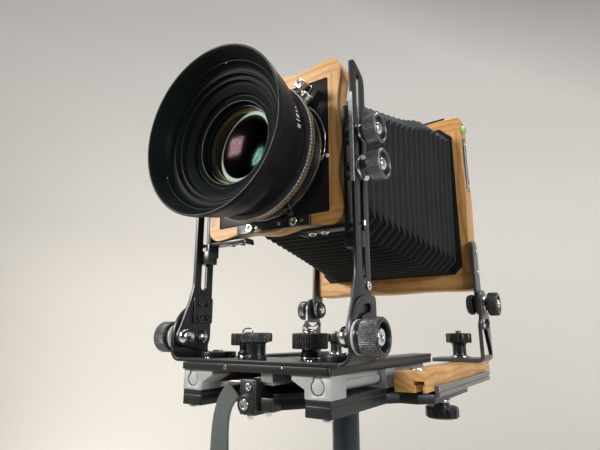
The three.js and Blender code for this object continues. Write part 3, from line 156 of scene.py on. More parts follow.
class Nodes:
    """A node tree under construction. Each call adds one node and links or sets its inputs by name."""

    def __init__(self, tree):
        """Keeps the tree that the nodes are added to."""
        self.tree = tree

    def add(self, kind, settings=None, inputs=None):
        """A new node of that kind, with these settings and inputs."""
        node = self.tree.nodes.new("ShaderNode" + kind)
        for key, value in (settings or {}).items():
            setattr(node, key, value)
        for key, value in (inputs or {}).items():
            self.set(node, key, value)
        return node

    def set(self, node, key, value):
        """A node's input linked to a socket, or given a value."""
        if isinstance(value, bpy.types.NodeSocket):
            self.tree.links.new(value, node.inputs[key])
        else:
            node.inputs[key].default_value = value

    def math(self, operation, *values, clamp=False):
        """One arithmetic step on floats."""
        node = self.add("Math", {"operation": operation, "use_clamp": clamp}, dict(enumerate(values)))
        return node.outputs[0]

    def vector(self, operation, *values, out=0):
        """One arithmetic step on vectors; out=1 is the single number of a dot product or a length."""
        node = self.add("VectorMath", {"operation": operation}, dict(enumerate(values)))
        return node.outputs[out]

    def scaled(self, vector, x, y, z):
        """v * (x, y, z), for a pattern that is stretched along one direction."""
        return self.vector("MULTIPLY", vector, (x, y, z))

    def noise(self, vector, scale, detail=3, roughness=0.55, distortion=0):
        """Smooth noise from 0 to 1 with `scale` cells a metre."""
        node = self.add("TexNoise", None, {"Vector": vector, "Scale": scale, "Detail": detail,
                                           "Roughness": roughness, "Distortion": distortion})
        return node.outputs["Fac"]

    def ramp(self, factor, *stops):
        """A colour or grey read off at factor between stops of (position, colour or grey)."""
        node = self.add("ValToRGB", None, {"Fac": factor})
        line = node.color_ramp.elements
        while len(line) < len(stops):
            line.new(1)
        for element, (position, colour) in zip(line, stops):
            element.position = position
            element.color = (*colour, 1) if isinstance(colour, tuple) else (colour, colour, colour, 1)
        return node.outputs["Color"]

    def mix(self, factor, a, b, blend="MIX"):
        """a * (1 - factor) + b * factor on colours, or another blend of the two."""
        node = self.add("Mix", {"data_type": "RGBA", "blend_type": blend}, {0: factor})
        for key, value in ((6, a), (7, b)):
            self.set(node, key, (*value, 1) if isinstance(value, tuple) else value)
        return node.outputs[2]

    def bump(self, height, distance, normal=None):
        """The normal of a surface raised by height * distance, in metres."""
        node = self.add("Bump", None, {"Height": height, "Distance": distance})
        if normal:
            self.set(node, "Normal", normal)
        return node.outputs[0]

    def use(self, tree, **inputs):
        """A shared effect's outputs, for these inputs."""
        return self.add("Group", {"node_tree": tree}, inputs).outputs

    def place(self):
        """Object coordinates, in metres."""
        return self.add("TexCoord").outputs["Object"]


def effect(name, inputs, outputs):
    """An empty shared effect: its tree, its inputs' sockets and its output node. F, V, C are the kinds."""
    kinds = {"F": "NodeSocketFloat", "V": "NodeSocketVector", "C": "NodeSocketColor"}
    tree = bpy.data.node_groups.new(name, "ShaderNodeTree")
    for way, sockets in (("INPUT", inputs), ("OUTPUT", outputs)):
        for socket, kind in sockets.items():
            tree.interface.new_socket(socket, in_out=way, socket_type=kinds[kind])
    n = Nodes(tree)
    sources = tree.nodes.new("NodeGroupInput").outputs
    return n, sources, tree.nodes.new("NodeGroupOutput")


def material(name, **values):
    """A new material: itself, its nodes, its shader. Even values are set on the shader's own sockets."""
    made = bpy.data.materials.new(name)
    made.use_nodes = True
    n = Nodes(made.node_tree)
    shader = made.node_tree.nodes["Principled BSDF"]
    for key, value in values.items():
        socket = shader.inputs[key.replace("_", " ")]
        socket.default_value = (*value, 1) if isinstance(value, tuple) else value
    return made, n, shader


def woven():
    """Weave: h = |sin(pi T u)| and |sin(pi T v)| by turns, in a checkerboard, for T threads a metre along a
    cloth's own u and v."""
    n, given, out = effect("weave", {"Place": "V", "Threads": "F"}, {"Height": "F"})
    split = n.add("SeparateXYZ", None, {0: given["Place"]})
    turns = [n.math("MULTIPLY", n.math("MULTIPLY", split.outputs[i], given["Threads"]), math.pi) for i in (0, 1)]
    crowns = [n.math("ABSOLUTE", n.math("SINE", turn)) for turn in turns]
    cells = [n.math("FLOOR", n.math("DIVIDE", turn, math.pi)) for turn in turns]
    check = n.math("MODULO", n.math("ABSOLUTE", n.math("ADD", *cells)), 2)
    over = n.math("MULTIPLY", crowns[0], check)
    under = n.math("MULTIPLY", crowns[1], n.math("SUBTRACT", 1, check))
    n.set(out, "Height", n.math("ADD", over, under))
    return n.tree


weave = woven()

webbing, n, shader = material("webbing", Roughness=0.92, Sheen_Weight=0.35)
cloth = n.add("Attribute", {"attribute_name": "cloth"}).outputs["Vector"]
threads = n.use(weave, Place=cloth, Threads=620)
fuzz = n.noise(cloth, 2600, 4)
tone = n.mix(threads["Height"], (0.028, 0.040, 0.035), (0.085, 0.105, 0.094))
n.set(shader, "Base Color", n.mix(n.noise(cloth, 70, 3), tone, n.mix(fuzz, tone, (0.11, 0.13, 0.12))))
n.set(shader, "Normal", n.bump(n.math("ADD", threads["Height"], n.math("MULTIPLY", fuzz, 0.8)), 0.35 * mm))

STRAP_WIDTH = 18
STRAP_THICKNESS = 2.4
STRAP_TWIST = math.radians(30)
STRAP_STEPS = 150
strap_route = [(-13.5, -31.9, 18), (-16.3, -32.6, 14.8), (-18.9, -33.3, 11), (-21.1, -33.9, 6.8), (-22.8, -34.3, 2),
               (-24.1, -34.7, -3.5), (-25, -34.9, -10), (-25.4, -35, -17), (-25.4, -35.1, -25), (-25.2, -35.1, -34),
               (-25, -35, -45), (-24.8, -35, -58), (-24.6, -34.9, -73), (-24.5, -34.9, -90), (-24.4, -34.8, -108),
               (-24.3, -34.8, -127), (-24.2, -34.8, -147), (-24.1, -34.8, -168), (-24, -34.8, -190)]


def path_length(path):
    """The sum of the steps between a path's points."""
    return np.linalg.norm(np.diff(path, axis=0), axis=1).sum()


def strap_skin(path):
    """The strap's rings, and each point's place on the cloth, in millimetres: a flat section with rounded edges
    carried along the path, its width at right angles to the path and to a level normal (sin(turn), -cos(turn),
    0). The turn grows to the full twist as s^2 (3 - 2 s), for s from 0 to 1 over the upper half."""
    steps = len(path)
    along = unit(np.gradient(path, axis=0))
    s = np.clip((np.linspace(0, 1, steps) - 0.05) / 0.45, 0, 1)
    turn = STRAP_TWIST * s * s * (3 - 2 * s)
    across = unit(np.cross(along, np.stack([np.sin(turn), -np.cos(turn), np.zeros(steps)], 1)))
    outward = np.cross(across, along)
    half, thick = STRAP_WIDTH / 2, STRAP_THICKNESS / 2
    u = np.concatenate([np.linspace(-half + 0.8, half - 0.8, 9), [half - 0.15, half, half - 0.15]])
    v = np.concatenate([np.full(9, thick), [thick * 0.7, 0, -thick * 0.7]])
    u, v = np.concatenate([u, -u]), np.concatenate([v, -v])
    ripple = 0.1 * np.sin(np.linspace(0, 9, steps))[:, None, None] * np.sin(u / half * 1.5)[None, :, None]
    rings = path[:, None] + across[:, None] * u[None, :, None] + outward[:, None] * (v[None, :, None] + ripple)
    run = np.broadcast_to(np.linspace(0, path_length(path), steps)[:, None], (steps, len(u)))
    wide = np.broadcast_to(u[None] + 2.2 * np.sign(v)[None], run.shape)
    return rings, np.stack([wide, run, run * 0], -1).reshape(-1, 3)


strap_line = spline(strap_route, STRAP_STEPS)
strap_rings, strap_cloth = strap_skin(strap_line)
strap = piece("strap", loft(strap_rings), "bed", webbing, "carry_strap", 60)
texture = strap.data.attributes.new("cloth", "FLOAT_VECTOR", "POINT")
texture.data.foreach_set("vector", (strap_cloth * mm).astype(np.float32).ravel())


# ---- Studio ----
# A pale seamless floor that curves up into a wall all round, with painted shade in its colour: graded across
# the wall to shape its brightness, and darker behind the viewer and high at the right. Large soft lights: the
# key from the upper left, a fill from the right, one above, and two low ones that brighten the wall.
backdrop, n, shader = material("backdrop", Roughness=0.9, Specular_IOR_Level=0.1)
place = n.add("SeparateXYZ", None, {0: n.place()})
# painted light and shade: the paper is graded lighter and darker by place to shape the wall's brightness
across = n.math("MULTIPLY_ADD", place.outputs[0], -0.16, 0.45)
rise = n.math("MULTIPLY_ADD", place.outputs[2], -0.32, 0.85)
painted_falloff = n.math("MULTIPLY_ADD", across, rise, 0.1, clamp=True)
paper_and_painted_shade = n.ramp(painted_falloff, (0.1, (0.76, 0.735, 0.71)), (0.45, (0.53, 0.51, 0.48)), (0.9, (0.45, 0.43, 0.395)))
# painted shade: darker paper behind the viewer, so the black parts mirror less light
near = n.vector("DOT_PRODUCT", n.place(), (0.55, -0.83, 0), out=1)
# painted shade: darker paper high at the right
height = n.math("SUBTRACT", place.outputs[2], 2.45)
corner = n.math("MULTIPLY_ADD", place.outputs[0], 0.8, height, clamp=True)
paper_and_painted_shade = n.mix(n.math("MULTIPLY", corner, 0.75), paper_and_painted_shade, (0.30, 0.29, 0.29))
paper_and_painted_shade = n.mix(n.math("MULTIPLY_ADD", near, 0.8, -0.5, clamp=True), paper_and_painted_shade, (0.09, 0.09, 0.095))
n.set(shader, "Base Color", n.mix(n.math("MULTIPLY", n.noise(n.place(), 3), 0.08), paper_and_painted_shade, (0.5, 0.48, 0.46)))
n.set(shader, "Normal", n.bump(n.noise(n.place(), 700, 4), 0.02 * mm))

FLOOR, COVE, SIDES_ROUND = 2.0, 0.9, 96
sweep = [(0, 0), (1.2, 0), (FLOOR, 0)]
sweep += [(FLOOR + COVE * math.sin(a), COVE - COVE * math.cos(a)) for a in np.linspace(0.1, math.pi / 2, 14)]
sweep += [(FLOOR + COVE, 2.5), (FLOOR + COVE, 5.5)]
angles = np.linspace(0, 2 * math.pi, SIDES_ROUND, endpoint=False)
bowl = [[(r * math.cos(a), r * math.sin(a), z) for a in angles] for r, z in sweep]
floor_mesh = bpy.data.meshes.new("floor")
floor_mesh.from_pydata(np.array(bowl).reshape(-1, 3).tolist(), [], grid_faces(len(sweep), SIDES_ROUND, False, True))
floor_mesh.flip_normals()
floor_mesh.shade_smooth()
floor_mesh.materials.append(backdrop)
studio_floor = bpy.data.objects.new("floor", floor_mesh)
bpy.context.scene.collection.objects.link(studio_floor)

world = bpy.data.worlds.new("daylight")
world.use_nodes = True
world.node_tree.nodes["Background"].inputs[0].default_value = (0.93, 0.97, 1.0, 1)
world.node_tree.nodes["Background"].inputs[1].default_value = 0.9
bpy.context.scene.world = world


def soft_light(name, place, target, size, power, colour=(1, 1, 1)):
    """A square area light of side `size` metres at place, facing target."""
    lamp = bpy.data.lights.new(name, "AREA")
    lamp.size, lamp.energy, lamp.color = size, power, colour
    held = bpy.data.objects.new(name, lamp)
    bpy.context.scene.collection.objects.link(held)
    held.location = place
    held.rotation_euler = (Vector(target) - Vector(place)).to_track_quat("-Z", "Y").to_euler()
    held.visible_camera = False


soft_light("key", (-1.14, -1.46, 1.5), (0, 0, 0.8), 0.5, 46, (1.0, 0.97, 0.93))
soft_light("fill", (1.9, -0.6, 1.2), (0, 0, 0.75), 0.9, 28, (0.95, 0.97, 1.0))
soft_light("top", (0.2, 0.5, 2.5), (0, 0.1, 0.8), 1.0, 26)
soft_light("wall_glow", (-1.3, 0.4, 0.4), (-1.6, 2.6, 0.8), 0.6, 29, (1.0, 0.98, 0.94))
soft_light("wall_right", (1.6, 1.0, 0.6), (0.9, 2.8, 0.7), 0.8, 5, (1.0, 0.99, 0.97))


# ---- Front frame ----
# One block of figured hardwood, oiled. Its outside is carved in shallow scoops between the corners
# for the fingers, every edge is rounded by hand, and the lens board sits in a rebate in its face.
def eased(corners, radius, closed=False, steps=4):
    """A path with its corners rounded: each corner c becomes the curve (1-t)^2 a + 2t(1-t) c + t^2 b, where a
    and b lie on its sides at the radius, or at the corner's own third number, from c."""
    p = [np.array(c[:2], float) for c in corners]
    count = len(p)
    made = []
    for i in range(count):
        if not closed and i in (0, count - 1):
            made.append(p[i])
            continue
        before, after = p[i - 1] - p[i], p[(i + 1) % count] - p[i]
        own = corners[i][2] if len(corners[i]) > 2 else radius
        lengths = np.linalg.norm(before), np.linalg.norm(after)
        if own == 0 or min(lengths) < 1e-9:
            made.append(p[i])
            continue
        a, b = (p[i] + side / length * min(own, 0.48 * length) for side, length in zip((before, after), lengths))
        made += [(1 - t) ** 2 * a + 2 * t * (1 - t) * p[i] + t * t * b for t in np.linspace(0, 1, steps + 1)]
    return np.array(made)


def inset(loop, distance):
    """A closed outline moved inwards (left of its direction): each point goes along its corner's mitre."""
    side = np.roll(loop, -1, 0) - loop
    side /= np.maximum(np.linalg.norm(side, axis=1), 1e-9)[:, None]
    normal = np.stack([-side[:, 1], side[:, 0]], 1)
    before = np.roll(normal, 1, 0)
    return loop + distance * (normal + before) / (1 + np.sum(normal * before, 1))[:, None]


def anticlockwise(loop, wanted=True):
    """The outline with its points in that order, found from the sign of its area."""
    x, y = loop.T
    area = np.sum(x * np.roll(y, -1) - y * np.roll(x, -1))
    return loop if (area > 0) == wanted else loop[::-1]


def plate(outline, holes=(), low=0, high=1, edge=0.5, steps=3, low_edge=None):
    """A plate between two heights with rounded edges: at angle a round an edge of radius e, the outline is
    inset by e (1 - sin a) and e (1 - cos a) below its face. Points are u, v, height."""
    loops = [anticlockwise(np.asarray(outline, float))] + [anticlockwise(np.asarray(h, float), False) for h in holes]
    under = edge if low_edge is None else low_edge
    a = np.linspace(0, math.pi / 2, steps + 1)
    levels = [(under * (1 - math.sin(t)), low + under * (1 - math.cos(t))) for t in a]
    levels += [(edge * (1 - math.sin(t)), high - edge * (1 - math.cos(t))) for t in a[::-1]]
    shapes, caps = [], {0: [], len(levels) - 1: []}
    start = 0
    for loop in loops:
        rings = [np.column_stack([inset(loop, move), np.full(len(loop), height)]) for move, height in levels]
        shapes.append((np.vstack(rings), grid_faces(len(levels), len(loop), False, True)))
        for level in caps:
            first = start + level * len(loop)
            caps[level].append(list(range(first, first + len(loop))))
        start += len(levels) * len(loop)
    points, faces = joined(*shapes)
    for loops_here in caps.values():
        flat = [i for loop in loops_here for i in loop]
        cap = tessellate_polygon([[Vector((*points[i][:2], 0)) for i in loop] for loop in loops_here])
        faces += [[flat[i] for i in face] for face in cap]
    return points, faces


def moved(shape, *moves):
    """The shape after each move in turn: a move is a function of the points, or a shift in millimetres."""
    points, faces = shape
    for move in moves:
        points = move(points) if callable(move) else points + np.array(move, float)
    return points, faces


def flipped(shape, *signs):
    """The shape with each coordinate times its sign."""
    return shape[0] * signs, shape[1]


def standing(shape):
    """A plate's u, v, height as x, z, y: it stands facing along Y."""
    return shape[0][:, [0, 2, 1]], shape[1]


def box_outline(width, height, radius, u=0, v=0, steps=5):
    """A rectangle with rounded corners about (u, v)."""
    a, b = width / 2, height / 2
    return eased([(u - a, v - b), (u + a, v - b), (u + a, v + b), (u - a, v + b)], radius, True, steps)


def scooped(half, high, v, dip, corner, steps=40):
    """A frame's carved outline: each side is inset by dip * sin(pi t)^2 for t from -1 to 1 along it."""
    t = np.linspace(-1, 1, steps)
    loop = []
    for side, (along, out) in enumerate([(high, half), (half, high), (high, half), (half, high)]):
        a, b = out - dip * np.sin(math.pi * t) ** 2, t * (along - corner)
        turns = [(a, b), (-b, a), (-a, -b), (b, -a)][side]
        loop.append(np.column_stack(turns))
        arc = np.linspace(0, math.pi / 2, 7)[1:-1]
        ca, cb = out - corner + corner * np.cos(arc), along - corner + corner * np.sin(arc)
        loop.append(np.column_stack([(ca, cb), (-cb, ca), (-ca, -cb), (cb, -ca)][side]))
    return np.vstack(loop) + (0, v)


def oiled_grain():
    """Wood grain along the third axis: a radius r = |p + flow| whose streaks are ((1 + sin(900 r + 9 flow))
    / 2)^3, on patches of lighter and darker brown, with fine fibres and dark pores."""
    n, given, out = effect("grain", {"Place": "V"}, {"Color": "C", "Height": "F", "Rough": "F"})
    place = given["Place"]
    flow = n.noise(n.scaled(place, 9, 9, 2.2), 1, 2, 0.5)
    wander = n.add("TexNoise", None, {"Vector": n.scaled(place, 24, 24, 9), "Scale": 1, "Detail": 3})
    bent = n.vector("ADD", n.scaled(place, 1, 1, 0.09), n.scaled(wander.outputs["Color"], 0.02, 0.02, 0))
    radius = n.vector("LENGTH", n.scaled(n.vector("ADD", bent, (0.035, 0.028, 0)), 1, 1, 0.25), out=1)
    phase = n.math("ADD", n.math("MULTIPLY", radius, 900), n.math("MULTIPLY", flow, 9))
    streak = n.math("POWER", n.math("MULTIPLY_ADD", n.math("SINE", phase), 0.5, 0.5), 3)
    fibre = n.noise(n.scaled(place, 1, 1, 0.035), 1500, 3, 0.6)
    pores = n.ramp(n.noise(n.scaled(place, 1, 1, 0.05), 2300, 2, 0.5), (0.62, 0.0), (0.72, 1.0))
    patch = n.noise(n.scaled(place, 1, 1, 0.45), 38, 4, 0.6)
    light = n.mix(n.math("MULTIPLY_ADD", patch, 2.6, -0.8, clamp=True), (0.66, 0.37, 0.125), (0.50, 0.235, 0.062))
    dark = n.mix(flow, (0.36, 0.125, 0.030), (0.44, 0.19, 0.050))
    tone = n.mix(n.math("MULTIPLY", streak, n.math("MULTIPLY_ADD", patch, 1.3, 0.2, clamp=True)), light, dark)
    tone = n.mix(n.math("MULTIPLY", fibre, 0.2), tone, (0.70, 0.44, 0.18))
    tone = n.mix(n.math("MULTIPLY", pores, 0.45), tone, (0.17, 0.085, 0.035))
    n.set(out, "Color", tone)
    n.set(out, "Height", n.math("SUBTRACT", fibre, n.math("MULTIPLY", pores, 0.8)))
    n.set(out, "Rough", n.math("MULTIPLY_ADD", fibre, 0.25, 0.36))
    return n.tree


grain = oiled_grain()


def wooden(name, arrange):
    """Oiled wood whose grain follows arrange, which turns Object coordinates so that z runs with the fibres."""
    made, n, shader = material(name, Coat_Weight=0.12, Coat_Roughness=0.35)
    parts = n.use(grain, Place=arrange(n, n.place()))
    n.set(shader, "Base Color", parts["Color"])
    n.set(shader, "Roughness", parts["Rough"])
    n.set(shader, "Normal", n.bump(parts["Height"], 0.06 * mm))
    return made


def around(half, height):
    """Grain that runs along each side of an upright frame: along x where |z - height| > half, else along z."""
    def arrange(n, place):
        """The place about the frame's middle, turned to (z, y, x) and shifted in its upper and lower sides."""
        middle = n.vector("SUBTRACT", place, (0, 0, height))
        split = n.add("SeparateXYZ", None, {0: n.vector("ABSOLUTE", middle)})
        level = n.math("GREATER_THAN", split.outputs[2], half)
        turned = n.add("SeparateXYZ", None, {0: middle})
        lying = n.add("CombineXYZ", None, {0: turned.outputs[2], 1: turned.outputs[1], 2: turned.outputs[0]})
        shifted = n.vector("ADD", lying.outputs[0], (0.21, 0.13, 0.37))
        sides = n.add("Mix", {"data_type": "VECTOR"}, {0: level, 4: middle, 5: shifted})
        return sides.outputs[1]
    return arrange


FRAME_HALF, FRAME_MIDDLE, FRAME_HIGH = 85, 253.3, 87
BOARD_Z = 249.8
front_wood = wooden("front_wood", around(70 * mm, float(at((0, 0, FRAME_MIDDLE))[2])))
outline = scooped(FRAME_HALF, FRAME_HIGH, FRAME_MIDDLE, 4.2, 14)
face = plate(outline, [box_outline(140.6, 141.6, 2.5, 0, BOARD_Z)], 0, 5.2, 1.7, 4, 0)
back = plate(outline, [box_outline(120, 120, 4, 0, BOARD_Z)], 5.22, 20, 1.7, 4, 0)
piece("front_frame_wood", standing(joined(face, back)), "front", front_wood, "front_frame", 40)


# ---- Lens board ----
# A square black-anodised aluminium plate with the shutter's hole, dropped into the frame's rebate.
# It lies in the lens's shadow, so its black is a darker copy of the other black metal: painted shade.
# It takes scratches where it is slid in, so its edges are worn.
def edge_wear_and_highlight():
    """Worn edges that also stand as painted edge highlights: clamp(14 (1 - bevelled normal . normal)) *
    clamp(2.6 noise - 0.75) * amount.
    """
    n, given, out = effect("worn_and_highlit_edges", {"Width": "F", "Amount": "F"}, {"Mask": "F"})
    soft = n.add("Bevel", {"samples": 6}, {"Radius": given["Width"]}).outputs[0]
    hard = n.add("NewGeometry").outputs["Normal"]
    turned_away = n.math("SUBTRACT", 1, n.vector("DOT_PRODUCT", soft, hard, out=1), clamp=True)
    chips = n.math("MULTIPLY_ADD", n.noise(n.place(), 420, 4, 0.7), 2.6, -0.75, clamp=True)
    mask = n.math("MULTIPLY", n.math("MULTIPLY", turned_away, 14, clamp=True), chips)
    n.set(out, "Mask", n.math("MULTIPLY", mask, given["Amount"], clamp=True))
    return n.tree


def settled_dust():
    """Dust on upward faces: max(normal z, 0)^3 * (clamp(5 fine noise - 2.4) + clamp(0.5 noise - 0.1)) * amount."""
    n, given, out = effect("dust", {"Amount": "F"}, {"Mask": "F"})
    up = n.add("SeparateXYZ", None, {0: n.add("NewGeometry").outputs["Normal"]}).outputs[2]
    facing = n.math("POWER", n.math("MAXIMUM", up, 0), 3)
    specks = n.math("MULTIPLY_ADD", n.noise(n.place(), 1900, 2, 0.6), 5, -2.4, clamp=True)
    veil = n.math("MULTIPLY_ADD", n.noise(n.place(), 60, 3), 0.5, -0.1, clamp=True)
    n.set(out, "Mask", n.math("MULTIPLY", n.math("MULTIPLY", facing, n.math("ADD", specks, veil)), given["Amount"]))
    return n.tree


wear_and_highlight = edge_wear_and_highlight()
dust = settled_dust()


def metal(name, colour, edge_tone, roughness, metallic=0, amount=1, width=0.5, grit=0.008, brushed=(1, 1, 1), dusty=0.1,
          shine=0.5):
    """A metal finish: colour, 20 % lighter and darker by noise, a lighter edge tone on worn edges, which is partly bare
    metal and partly a painted edge highlight, and dust on top; its roughness runs from 0.7 to 1.3 of the value given."""
    made, n, shader = material(name, Metallic=metallic, Specular_IOR_Level=shine)
    place = n.place()
    edges = n.use(wear_and_highlight, Width=width * mm, Amount=amount)["Mask"]
    fine = n.noise(n.scaled(place, *brushed), 2600, 3, 0.65)
    cloudy = n.noise(place, 35, 4)
    tone = n.mix(cloudy, tuple(0.8 * c for c in colour), tuple(1.2 * c for c in colour))
    # the edge tone is bare metal where worn and a painted highlight along the sharp edges
    tone = n.mix(edges, tone, edge_tone)
    tone = n.mix(n.use(dust, Amount=dusty)["Mask"], tone, (0.36, 0.35, 0.33))
    n.set(shader, "Base Color", tone)
    smooth = n.math("MULTIPLY_ADD", cloudy, 0.3 * roughness, 0.7 * roughness)
    n.set(shader, "Roughness", n.math("MULTIPLY_ADD", fine, 0.3 * roughness, smooth))
    n.set(shader, "Normal", n.bump(fine, grit * mm))
    return made


black_metal = metal("black_metal", (0.011, 0.012, 0.0125), (0.34, 0.35, 0.35), 0.33, amount=0.7, shine=0.45)
# painted shade: a darker copy of the black metal for the board in the lens's shadow
shaded_board_black = metal("shaded_board_black", (0.006, 0.0065, 0.007), (0.2, 0.2, 0.2), 0.45, amount=0.3, grit=0.01, shine=0.3)
chrome = metal("chrome", (0.74, 0.74, 0.73), (0.85, 0.85, 0.84), 0.14, 1, amount=0.4, grit=0.002, dusty=0.05)


def circle(radius, count=64, u=0, v=0):
    """Points round a circle about (u, v)."""
    a = np.linspace(0, 2 * math.pi, count, endpoint=False)
    return np.column_stack([u + radius * np.cos(a), v + radius * np.sin(a)])


def facing(shape):
    """A plate's u, v, height as x, z, -y: it stands with its top towards the viewer."""
    return flipped(standing(shape), 1, -1, 1)


LENS_Z = 244.3
board = plate(box_outline(140, 141, 2.5, 0, BOARD_Z), [circle(45.3, 96, 0, LENS_Z)], -5, -0.5, 0.35, 2)
piece("lens_board_plate", facing(board), "front", shaded_board_black, "lens_board")


# ---- Board latch ----
# A black sliding bar that holds the board's lower edge down, on two chrome cross-head screws. Two
# brass marks beside the screws and two white engraved dashes show which way it locks.
def rotated(points, angle):
    """Points in a plane turned about the origin: (u cos a - v sin a, u sin a + v cos a), any third number kept."""
    points = np.asarray(points, float)
    u, v = points[:, 0], points[:, 1]
    turn = [u * math.cos(angle) - v * math.sin(angle), u * math.sin(angle) + v * math.cos(angle)]
    return np.column_stack([*turn, points[:, 2:]])


def bolt_head(radius, height, recess, u, v, low):
    """A screw or bolt head about (u, v): a disc with a rounded rim, and a recess cut two thirds down into it."""
    rim = plate(circle(radius, 40, u, v), [recess], low, low + height, 0.35 * height, 4, 0)
    middle = recess.mean(0)
    floor = plate(middle + (recess - middle) * 1.08, (), low, low + 0.35 * height, 0.02, 1)
    return joined(rim, floor)


def cross_screw(radius, height, reach, half, u=0, v=0, low=0, turn=0.5):
    """A screw head with a cross recess: arms of half width `half` that reach `reach`, turned by an angle."""
    quarter = np.array([(reach, -half), (reach, half), (half, half)])
    cross = np.vstack([rotated(quarter, k * math.pi / 2) for k in range(4)])
    return bolt_head(radius, height, rotated(cross, turn) + (u, v), u, v, low)


def hexagon(radius, u=0, v=0):
    """A hexagon's corners about (u, v)."""
    return rotated(circle(radius, 6), 0.2) + (u, v)


def socket_bolt(radius, height, flat, u=0, v=0, low=0):
    """A bolt head with a hexagon recess."""
    return bolt_head(radius, height, hexagon(flat, u, v), u, v, low)


LATCH_Z, LATCH_SCREWS = 173.3, (-23, 32)
slots = [box_outline(4, 8, 1.9, x, LATCH_Z, 4) for x in LATCH_SCREWS]
bar = plate(box_outline(91, 10, 1.5, 4.5, LATCH_Z), slots, 0.3, 4, 0.4)
piece("board_latch_bar", facing(bar), "board_latch", black_metal, "board_latch")
brass = metal("brass_marks", (0.55, 0.36, 0.14), (0.7, 0.5, 0.2), 0.35, 1, grit=0.004)
marks = [plate(box_outline(3.4, 3, 0.4, x, LATCH_Z), (), 3.9, 4.15, 0.1, 1) for x in (-15, 41)]
piece("board_latch_marks", facing(joined(*marks)), "board_latch", brass)
enamel, n, shader = material("white_enamel", Roughness=0.5)
n.set(shader, "Base Color", n.mix(n.noise(n.place(), 2500), (0.75, 0.75, 0.72), (0.5, 0.5, 0.48)))
dashes = [plate(box_outline(3.6, 0.7, 0.3, 14, LATCH_Z + z), (), 3.9, 4.08, 0.05, 1) for z in (-1, 1)]
piece("board_latch_dashes", facing(joined(*dashes)), "board_latch", enamel)
screws = [cross_screw(4.5, 2.2, 2.6, 0.55, x, LATCH_Z, 4.2, turn) for x, turn in zip(LATCH_SCREWS, (0.3, 0.9))]
piece("board_latch_screws", facing(joined(*screws)), "front", chrome)


# ---- Shutter ----
# A round black-enamelled housing turned and milled from aluminium, bolted through the lens board.
# It carries a bright flash socket with a black mouth, a release tube and a cable guide of thin wire.
def turned(profile, ease=0, steps=72, flutes=None, closed=False):
    """A profile of (radius, height), its corners eased, turned round an axis: (r cos a, r sin a, h). Flutes
    (count, depth, low, high) cut the outermost r by depth * (1 - |sin(count a / 2)|) between those heights.
    A profile that starts at r = 0 ends there too; any other is a closed section."""
    profile = eased(profile, ease, closed)
    if flutes:
        steps = flutes[0] * 6
    a = np.linspace(0, 2 * math.pi, steps, endpoint=False)
    r = np.repeat(profile[:, :1], steps, 1)
    if flutes:
        count, depth, low, high = flutes
        inside = (profile[:, 1] > low) & (profile[:, 1] < high) & (profile[:, 0] > profile[:, 0].max() - 1.2 * depth)
        r -= inside[:, None] * depth * (1 - np.abs(np.sin(count * a / 2)))[None]
    points = np.stack([r * np.cos(a), r * np.sin(a), np.repeat(profile[:, 1:2], steps, 1)], -1)
    return points.reshape(-1, 3), grid_faces(len(profile), steps, profile[0, 0] > 0, True)


def rod(radius, low, high, ease, steps=24):
    """A round bar with eased edges."""
    return turned([(0, low), (radius, low), (radius, high), (0, high)], ease, steps)


def aimed(direction, place):
    """A move that turns a shape's own +z to a direction and puts its origin at a place."""
    turn = np.array(Vector(direction).to_track_quat("Z", "Y").to_matrix())
    return lambda p: p @ turn.T + np.array(place, float)


def round_lens(angle, radius, depth):
    """A point at an angle in degrees from +x towards +z and a radius about the lens axis, so far in front of
    the frame's face."""
    a = math.radians(angle)
    return np.array((radius * math.cos(a), -depth, LENS_Z + radius * math.sin(a)))


def on_lens(angle, radius, depth, shape):
    """A shape whose +z points out from the lens axis at that angle, with its own x round the axis."""
    a = math.radians(angle)
    side, fore, out = (-math.sin(a), 0, math.cos(a)), (0, -1, 0), (math.cos(a), 0, math.sin(a))
    return moved(shape, lambda p: p @ np.array((side, fore, out), float), round_lens(angle, radius, depth))


lens_axis = aimed((0, -1, 0), (0, 0, LENS_Z))
lens_black = metal("lens_black", (0.007, 0.008, 0.009), (0.25, 0.25, 0.25), 0.3, amount=0.35, grit=0.004, shine=0.4)
housing = [(0, 12), (34, 12), (34, 26.5), (62.4, 26.5), (64, 25), (64, 16, 0.4), (63.2, 15.4, 0.2), (63.2, 11, 0.2),
           (64, 10.4, 0.4), (64, 5.2), (61.4, 4.4), (61.2, -0.5), (45, -0.5), (45, -5.3), (52, -5.3), (52, -8),
           (34, -8), (34, 11), (0, 11)]
piece("shutter_housing", moved(turned(housing, 0.5, 128), lens_axis), "front", lens_black, "shutter_body")
screws = [cross_screw(1.7, 0.7, 1.0, 0.25, 57 * math.cos(t), 57 * math.sin(t), 26.4)
          for t in (0.3, 1.35, 2.6, 3.7, 5.1)]
piece("shutter_screws", moved(joined(*screws), lens_axis), "front", chrome)
tower = on_lens(58, 61, 9, plate(box_outline(23, 15, 4), (), 0, 14, 2.2, 4))
release = on_lens(-62, 62, 13, turned([(0, 0), (4.2, 0), (4.2, 7), (3, 8.5), (3, 13), (0, 13)], 0.4, 24))
piece("shutter_tower", joined(tower, release), "front", lens_black)
silver = metal("satin_silver", (0.56, 0.56, 0.57), (0.8, 0.8, 0.8), 0.3, 1, amount=0.5, grit=0.004)
socket = turned([(0, 2), (4.6, 2), (4.6, 14.2), (5.2, 15), (6, 14.4), (6, 9), (5.2, 8.6), (5.2, 5), (6.3, 4.4),
                 (6.3, 0), (0, 0)], 0.35, 48)
collar = turned([(0, 0), (8.4, 0), (8.4, 2.6), (6.6, 3.4), (0, 3.4)], 0.5, 48)
piece("flash_socket", joined(on_lens(40, 63.6, 20, socket), on_lens(40, 62.4, 20, collar)), "front", silver,
      smooth=45)
